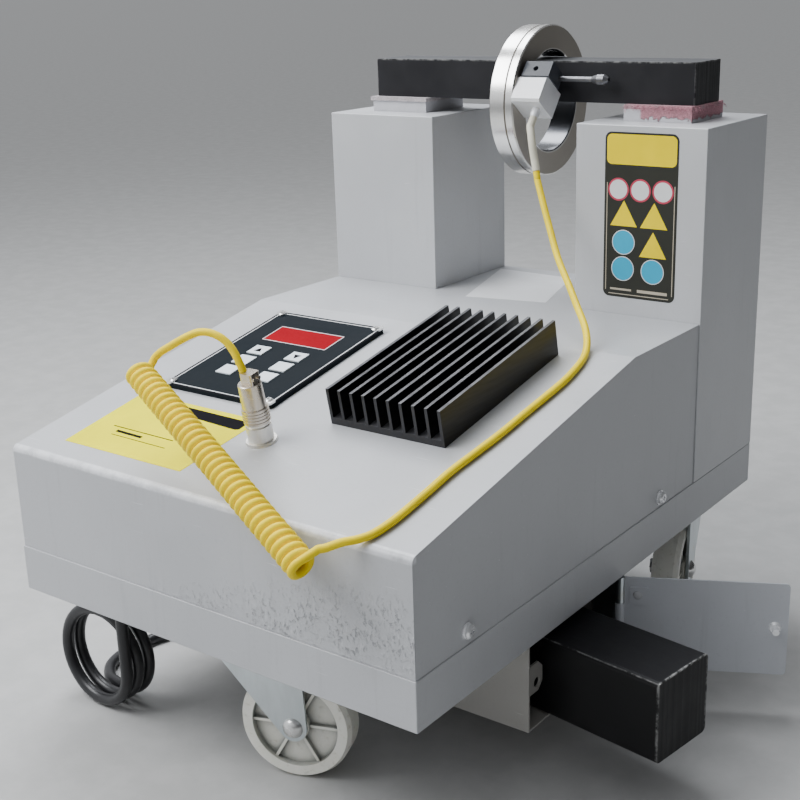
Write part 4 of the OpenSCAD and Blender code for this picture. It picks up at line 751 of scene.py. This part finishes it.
def skin(bm, rings):
    """Faces between each two neighbouring rings of points, and a cap on both ends."""
    for low, high in zip(rings, rings[1:]):
        for k in range(len(low)):
            after = (k + 1) % len(low)
            bm.faces.new((low[k], low[after], high[after], high[k]))
    bm.faces.new(rings[0][::-1])
    bm.faces.new(rings[-1])


def tube_into(bm, points, radii, sides):
    """A tube through points in metres, with a radius for each."""
    rings = []
    turns = circle(sides)
    out = None
    last = len(points) - 1
    for i, p in enumerate(points):
        along = (points[min(i + 1, last)] - points[max(i - 1, 0)]).normalized()
        if out is None:
            out = along.orthogonal().normalized()
        out = (out - along * out.dot(along)).normalized()
        side = along.cross(out)
        rings.append([bm.verts.new(p + radii[i] * (c * out + q * side)) for c, q in turns])
    skin(bm, rings)


def tube_piece(name, points, radii, slot_name, sides):
    """A cord as a mesh tube along points in metres."""
    bm = bmesh.new()
    tube_into(bm, points, radii, sides)
    obj = new_mesh(name, bm, MATS[slot_name])
    return obj


def cable(name, points, radius, slot_name):
    """A cord as a round curve along points in millimetres."""
    data = bpy.data.curves.new(name, "CURVE")
    data.dimensions = "3D"
    data.bevel_depth = radius / 1000
    data.bevel_resolution = 6
    data.use_fill_caps = True
    data.twist_mode = "MINIMUM"
    line = data.splines.new("POLY")
    line.points.add(len(points) - 1)
    line.use_smooth = True
    for spot, p in zip(line.points, points):
        spot.co = (*at(*p), 1)
    data.materials.append(MATS[slot_name])
    obj = add_object(name, data)
    return obj


# the curly part is a little fuller than the straight ones, and tapers over its first and last turn
CURL_FULLER = 0.17
WIRE_SIDES = 16
arch_count = ARCH_SMOOTH * (len(arch_points) - 1)


def cable_radius(i):
    inside = min(i - arch_count, arch_count + len(curl_arc) - i)
    return (WIRE_R + CURL_FULLER * max(0.0, min(1.0, inside / CURL_RING_STEPS))) / 1000


probe_path = [at(*p) for p in probe_line]
probe_radii = [cable_radius(i) for i in range(len(probe_path))]
probe_cable = tube_piece("probe_cable", probe_path, probe_radii, "cable_yellow", WIRE_SIDES)
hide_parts("probe_arch", "probe_curl", "probe_run")
mains_lead = cable("mains_lead", mains_line, LEAD_R, "lead_black")
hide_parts("mains_loops", "mains_run", "mains_coil")
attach(mains_lead, "housing")

# the sleeve's ends are a little narrower
END_RINGS = 3
SLEEVE_END_R = 2.9
SLEEVE_SMOOTH = 8
SLEEVE_SIDES = 20
sleeve_mm = catmull(sleeve_route, SLEEVE_SMOOTH)
sleeve_line = [at(*p) for p in sleeve_mm]
narrow = [SLEEVE_END_R / 1000] * END_RINGS
sleeve_radii = narrow + [SLEEVE_R / 1000] * (len(sleeve_line) - 2 * END_RINGS) + narrow
sleeve = tube_piece("cable_sleeve", sleeve_line, sleeve_radii, "sleeve_cream", SLEEVE_SIDES)
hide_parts("probe_sleeve")

# the probe cable and the sleeve get their placements baked into their meshes
for obj in (probe_cable, sleeve):
    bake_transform(obj)


# printed and plain films: thicknesses, and lifts off the face that carries them
PRINT_T = 0.05
STICKER_T = 0.18
STICKER_LIFT = 0.02
PRINT_LIFT = 0.22
SPOT_LIFT = 0.28
CORNER_STEPS = 6


def round_corner(before, corner, after, radius):
    """A quarter circle in place of a square corner."""
    a = (before - corner).normalized()
    b = (after - corner).normalized()
    mid = corner + radius / 1000 * (a + b)
    arc = []
    for k in range(CORNER_STEPS + 1):
        c, q = cos_sin(90 * k / CORNER_STEPS)
        arc.append(mid - radius / 1000 * (q * a + c * b))
    return arc


def plate(name, corners, thick, mat, body="housing", radius=0.0):
    """A thin sheet over corner points from at(), counter-clockwise seen from outside, with round corners."""
    up = (corners[1] - corners[0]).cross(corners[-1] - corners[0]).normalized()
    outline = corners
    if radius:
        outline = []
        for i, p in enumerate(corners):
            outline += round_corner(corners[i - 1], p, corners[(i + 1) % len(corners)], radius)
    bm = bmesh.new()
    skin(bm, [[bm.verts.new(p) for p in outline], [bm.verts.new(p + up * thick / 1000) for p in outline]])
    obj = new_mesh(name, bm, mat, smooth=False)
    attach(obj, body)


def slope_rect(x0, x1, s0, s1, n):
    return [on_slope(x0, s0, n), on_slope(x1, s0, n), on_slope(x1, s1, n), on_slope(x0, s1, n)]


def wall_rect(x0, x1, z0, z1, y):
    return [at(x0, y, z0), at(x1, y, z0), at(x1, y, z1), at(x0, y, z1)]


white_print = film("white_print", (0.78, 0.79, 0.80), 0.4)
black_print = film("black_print", (0.006, 0.006, 0.008), 0.6, shine=0.04)
dark_field = film("dark_field", (0.035, 0.036, 0.030), 0.45, shine=0.15)
yellow_print = film("yellow_print", (0.98, 0.76, 0.0), 0.6, shine=0.06)
lemon_print = film("lemon_print", (0.92, 0.84, 0.0), 0.6, shine=0.06)
pale_line = film("pale_line", (0.72, 0.62, 0.64), 0.4)
beige_line = film("beige_line", (0.52, 0.46, 0.36), 0.4)
blue_print = film("blue_print", (0.01, 0.42, 0.66), 0.4)
red_print = film("red_print", (0.55, 0.05, 0.10), 0.4)
paper = film("paper", (0.74, 0.75, 0.77), 0.6)

# control panel: printed lines, and lugs under its corner screws
PANEL_X, PANEL_S, PANEL_W, PANEL_L, PANEL_T = 42.9, 112.0, 105.0, 134.8, 3.5
PANEL = (PANEL_X, PANEL_X + PANEL_W, PANEL_S, PANEL_S + PANEL_L)
WINDOW_X, WINDOW_S, WINDOW_W, WINDOW_L = 64.8, 199.5, 61.7, 23.2
WINDOW = (WINDOW_X, WINDOW_X + WINDOW_W, WINDOW_S, WINDOW_S + WINDOW_L)
LEAST_R = 0.3


def shrunk(box, inset):
    x0, x1, s0, s1 = box
    return x0 + inset, x1 - inset, s0 + inset, s1 - inset


def round_box(box, r):
    """Points round a box on the slope, with its corners as quarter circles of radius r."""
    x0, x1, s0, s1 = shrunk(box, r)
    points = []
    for cx, cs, start in ((x1, s1, 0), (x0, s1, 90), (x0, s0, 180), (x1, s0, 270)):
        for k in range(CORNER_STEPS + 1):
            c, q = cos_sin(start + 90 * k / CORNER_STEPS)
            points.append((cx + r * c, cs + r * q))
    return points


def ring_line(name, box, width, n, mat, radius):
    """A printed line just inside a box on the panel."""
    bm = bmesh.new()
    inside = round_box(shrunk(box, width), max(radius - width, LEAST_R))
    outer = [bm.verts.new(on_slope(*p, n)) for p in round_box(box, radius)]
    inner = [bm.verts.new(on_slope(*p, n)) for p in inside]
    for i in range(len(outer)):
        after = (i + 1) % len(outer)
        bm.faces.new((outer[i], outer[after], inner[after], inner[i]))
    obj = new_mesh(name, bm, mat, smooth=False)
    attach(obj, "housing")


LINE_W, LINE_INSET, LINE_R = 0.9, 2.2, 2.0
RIM_W, RIM_INSET, RIM_R = 1.6, 0.1, 3.0
LINE_TOP, RIM_TOP, LUG_FOOT = PANEL_T + 0.06, PANEL_T + 0.04, PANEL_T + 0.05
ring_line("panel_line", shrunk(PANEL, LINE_INSET), LINE_W, LINE_TOP, white_print, LINE_R)
ring_line("panel_rim", shrunk(PANEL, RIM_INSET), RIM_W, RIM_TOP, black_print, RIM_R)
ring_line("window_line", shrunk(WINDOW, -LINE_W), LINE_W, LINE_TOP, pale_line, LINE_W)

LUG, LUG_OUT, LUG_T, LUG_R = 7.6, 0.5, 1.0, 2.2
left, right, foot, head = shrunk(PANEL, -LUG_OUT)
lug_places = ((left, foot), (right - LUG, foot), (right - LUG, head - LUG), (left, head - LUG))
for i, (x, s) in enumerate(lug_places):
    square = slope_rect(x, x + LUG, s, s + LUG, LUG_FOOT)
    plate("panel_lug_%d" % i, square, LUG_T, MATS["bright_screws"], radius=LUG_R)

# arrows on the upper two keys; the others are plain
KEY_TOP = PANEL_T + 0.7
ARROW_HALF, ARROW_FOOT, ARROW_TIP = 3.4, 2.6, 3.4


def key_sign(node, body, way):
    """A triangle on a key's top, pointing up the slope for way 1 and down it for way -1."""
    lo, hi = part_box(node)
    mid = (Vector(lo) + Vector(hi)) / 2 * 1000
    x = mid.x + ORIGIN_X
    s = (mid.y + BODY_D / 2) * math.cos(SLOPE) + (mid.z - CASTER_H - FRONT_H) * math.sin(SLOPE)
    foot = s - ARROW_FOOT * way
    corners = ((x - ARROW_HALF * way, foot), (x + ARROW_HALF * way, foot), (x, s + ARROW_TIP * way))
    triangle = [on_slope(*p, KEY_TOP + STICKER_LIFT) for p in corners]
    plate(node + "_sign", triangle, PRINT_T, black_print, body)


key_sign("raise_key", "raise_button", 1)
key_sign("lower_key", "lower_button", -1)

# yellow sheet on the front of the deck, left plain but for a dark field and three lines
SHEET_OUTLINE = ((33.5, 21.7), (147.4, 21.5), (151.6, 96.9), (33.4, 97.9))
BAND_OUTLINE = ((93, 87.5), (101.7, 81.8), (143.4, 79.4), (146.2, 81.0), (146.0, 88.1), (141.5, 91.8),
                (84, 93))
SHEET_LINES = ((52, 112, 51.2, 0.9), (60, 114, 41.2, 0.7), (60, 86, 45.4, 2.6))
LINE_FALL = 0.8


def deck_shape(name, points, lift, thick, mat):
    plate(name, [on_slope(x, s, lift) for x, s in points], thick, mat)


deck_shape("deck_sheet", SHEET_OUTLINE, STICKER_LIFT, STICKER_T, lemon_print)
deck_shape("deck_sheet_band", BAND_OUTLINE, PRINT_LIFT, PRINT_T, black_print)
for i, (x0, x1, s0, wide) in enumerate(SHEET_LINES):
    s1 = s0 - LINE_FALL
    outline = ((x0, s0), (x1, s1), (x1, s1 + wide), (x0, s0 + wide))
    deck_shape("deck_sheet_line_%d" % i, outline, PRINT_LIFT, PRINT_T, black_print)

# tall film on the right pillar: plain coloured fields only
FILM_Y = BODY_D - 110.0
PRINT_Y = FILM_Y - PRINT_LIFT
SPOT_Y = FILM_Y - SPOT_LIFT
FILM_BOX = (267.8, 328.0, 174.0, 300.0)
HEAD_BOX = (269.4, 326.6, 275.9, 298.5)
FILM_R, HEAD_R = 5.0, 4.0
RED_ROW_X, RED_ROW_Z = (279.5, 297.7, 316.3), 257.2
RED_R, RED_INNER_R = 8.7, 7.3
TRIANGLES = ((284.4, 229.4), (309.5, 229.2), (309.2, 207.0))
TRIANGLE_HALF, TRIANGLE_H = 11.2, 19.6
DISCS = ((284.5, 217.0), (284.3, 196.5), (309.3, 196.2))
DISC_RIM_R, DISC_R = 9.6, 9.0
FILM_LINES = ((269.7, 270.3, 179.0, 262.0), (325.5, 326.1, 179.0, 262.0), (272.6, 323.2, 176.1, 176.7),
              (274.0, 292.0, 179.4, 180.9), (297.0, 322.0, 179.0, 181.2))
DISC_SIDES = 32


def disc(name, x, z, r, mat, y):
    plate(name, [at(x + r * c, y, z + r * q) for c, q in circle(DISC_SIDES)], PRINT_T, mat)


plate("pillar_film", wall_rect(*FILM_BOX, FILM_Y - STICKER_LIFT), STICKER_T, dark_field, radius=FILM_R)
plate("pillar_film_head", wall_rect(*HEAD_BOX, PRINT_Y), PRINT_T, yellow_print, radius=HEAD_R)
for i, x in enumerate(RED_ROW_X):
    disc("film_ring_%d" % i, x, RED_ROW_Z, RED_R, red_print, PRINT_Y)
    disc("film_spot_%d" % i, x, RED_ROW_Z, RED_INNER_R, white_print, SPOT_Y)
for i, (x, z) in enumerate(TRIANGLES):
    corners = ((x - TRIANGLE_HALF, z), (x + TRIANGLE_HALF, z), (x, z + TRIANGLE_H))
    plate("film_field_%d" % i, [at(px, PRINT_Y, pz) for px, pz in corners], PRINT_T, yellow_print)
for i, (x, z) in enumerate(DISCS):
    disc("film_rim_%d" % i, x, z, DISC_RIM_R, white_print, PRINT_Y)
    disc("film_disc_%d" % i, x, z, DISC_R, blue_print, SPOT_Y)
for i, line in enumerate(FILM_LINES):
    plate("film_line_%d" % i, wall_rect(*line, PRINT_Y), PRINT_T, beige_line)

# leaf and rivet of the hinge, inside the top corner of the open door; u along it from the hinge, z up
DOOR_ANGLE = 27.1
HINGE_X, HINGE_Y, DOOR_FACE = 345.5, 255.5, 0.75
LEAF_U, LEAF_Z, LEAF_T, LEAF_R = (7.2, 20.4), (-24.0, -10.2), 1.2, 1.2
RIVET_U, RIVET_Z, RIVET_R, RIVET_H, RIVET_TIP_R = 12.9, -16.4, 3.3, 1.5, 0.05
RIVET_SIDES, RIVET_RINGS = 24, 4


def on_door(u, z, n=0.0):
    """A point on the door, n out of its front."""
    c, q = cos_sin(DOOR_ANGLE)
    out = DOOR_FACE + n
    return at(HINGE_X + u * c + out * q, HINGE_Y + u * q - out * c, z)


def door_rivet():
    """A domed head on the leaf."""
    bm = bmesh.new()
    rings = []
    for k in range(RIVET_RINGS + 1):
        flat, rise = cos_sin(90 * k / RIVET_RINGS)
        r = max(RIVET_R * flat, RIVET_TIP_R)
        n = LEAF_T + RIVET_H * rise
        ring = [on_door(RIVET_U + r * c, RIVET_Z + r * q, n) for c, q in circle(RIVET_SIDES)]
        rings.append([bm.verts.new(p) for p in ring])
    skin(bm, rings)
    rivet = new_mesh("door_rivet", bm, MATS["light_grey_paint"])
    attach(rivet, "door_body")


leaf = [on_door(LEAF_U[i], LEAF_Z[j]) for i, j in ((0, 0), (1, 0), (1, 1), (0, 1))]
plate("door_leaf", leaf, LEAF_T, door_paint, "door_body", radius=LEAF_R)
door_rivet()

# pale sheet of paper on the flat deck
PAPER_OUTLINE = ((145, 357), (214, 371), (187, 460), (112, 463))
PAPER_LIFT, PAPER_T = 0.03, 0.12
plate("paper_sheet", [at(x, y, DECK_H + PAPER_LIFT) for x, y in PAPER_OUTLINE], PAPER_T, paper)

# loose fibres round the pads
PAD_FRONT, PAD_BACK, PAD_FOOT = 394.4, 450.8, 314.0
FRONT_SHARE, RIGHT_SHARE = 0.62, 0.84
FIBRE_RISE, FIBRE_SPREAD = (0.4, 2.8), (-0.8, 0.8)
FIBRE_R = 0.22
FIBRE_STEPS, FIBRE_SIDES = 5, 5


def fibre_root(rng, x0, x1):
    """Where a fibre leaves the pad, and the way it leaves: at the front, on the right or on the left."""
    side = rng.random()
    if side < FRONT_SHARE:
        root = Vector((rng.uniform(x0, x1), PAD_FRONT, PAD_FOOT + rng.uniform(*FIBRE_RISE)))
        return root, Vector((rng.uniform(*FIBRE_SPREAD), -1, 0))
    edge, way = (x1, 1) if side < RIGHT_SHARE else (x0, -1)
    root = Vector((edge, rng.uniform(PAD_FRONT, PAD_BACK), PAD_FOOT + rng.uniform(*FIBRE_RISE)))
    return root, Vector((way, rng.uniform(*FIBRE_SPREAD), 0))


def fibres(name, seed, x0, x1, count, slot_name, long):
    rng = random.Random(seed)
    bm = bmesh.new()
    radii = [FIBRE_R / 1000 * (1 - 0.6 * k / FIBRE_STEPS) for k in range(FIBRE_STEPS + 1)]
    for _ in range(count):
        root, out = fibre_root(rng, x0, x1)
        length = rng.uniform(0.5, 1.0) * long
        drop = rng.uniform(0.15, 0.9)
        twist = Vector((rng.uniform(-0.5, 0.5), rng.uniform(-0.5, 0.5), 0))
        way, bend = out.normalized(), twist - Vector((0, 0, drop))
        shares = [k / FIBRE_STEPS for k in range(FIBRE_STEPS + 1)]
        points = [at(*(root + way * length * t + bend * length * t * t)) for t in shares]
        tube_into(bm, points, radii, FIBRE_SIDES)
    obj = new_mesh(name, bm, MATS[slot_name])
    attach(obj, "housing")


fibres("right_pad_fibres", 11, 268.3, 324.3, 150, "right_pad_felt", 4.5)
fibres("left_pad_fibres", 12, 24.3, 83.2, 60, "left_pad_felt", 2.6)


# stage: pale floor, soft light
FLOOR_HALF = 200.0


def add_floor():
    mat = plastic("floor", (0.46, 0.46, 0.455), 0.7, peel=0.03, dirt=0.02, scale=40.0)
    bm = bmesh.new()
    corners = ((-1, -1), (1, -1), (1, 1), (-1, 1))
    bm.faces.new([bm.verts.new((FLOOR_HALF * x, FLOOR_HALF * y, 0)) for x, y in corners])
    floor = new_mesh("floor", bm, mat, smooth=False)


def area_light(name, place, target, size, power, color=(1, 1, 1)):
    data = bpy.data.lights.new(name, "AREA")
    data.shape = "RECTANGLE"
    data.size, data.size_y = size
    data.energy = power
    data.color = color
    way = Vector(target) - Vector(place)
    turn = way.to_track_quat("-Z", "Y").to_matrix().to_4x4()
    add_object(name, data).matrix_world = Matrix.Translation(place) @ turn


# the sky is bright over the machine's left shoulder and dark on its right
SKY_WAY = (-0.72, -0.30, 0.62)
SKY_FACING = (-0.15, 0.85)
SKY_STRENGTH = (0.05, 1.10)
SKY_COLOR = (0.92, 0.94, 0.97, 1)


def add_sky():
    world = bpy.data.worlds.new("world")
    world.use_nodes = True
    tree = world.node_tree
    facing = tree.nodes.new("ShaderNodeVectorMath")
    facing.operation = "DOT_PRODUCT"
    tree.links.new(tree.nodes.new("ShaderNodeTexCoord").outputs["Generated"], facing.inputs[0])
    facing.inputs[1].default_value = SKY_WAY
    spread = tree.nodes.new("ShaderNodeMapRange")
    tree.links.new(facing.outputs["Value"], spread.inputs["Value"])
    spread.inputs["From Min"].default_value, spread.inputs["From Max"].default_value = SKY_FACING
    spread.inputs["To Min"].default_value, spread.inputs["To Max"].default_value = SKY_STRENGTH
    back = tree.nodes["Background"]
    back.inputs["Color"].default_value = SKY_COLOR
    tree.links.new(spread.outputs["Result"], back.inputs["Strength"])
    bpy.context.scene.world = world


add_floor()
area_light("key", place=(-0.75, -0.75, 1.35), target=(0, 0.05, 0.2), size=(0.9, 0.9), power=26.0,
           color=(0.97, 0.985, 1.0))
area_light("top", place=(-0.6, 0.45, 1.9), target=(0, 0.0, 0.2), size=(0.9, 1.2), power=34.0,
           color=(0.93, 0.96, 1.0))
area_light("fill", place=(1.6, -1.9, 0.9), target=(0, 0, 0.25), size=(1.4, 1.0), power=1.0)
add_sky()
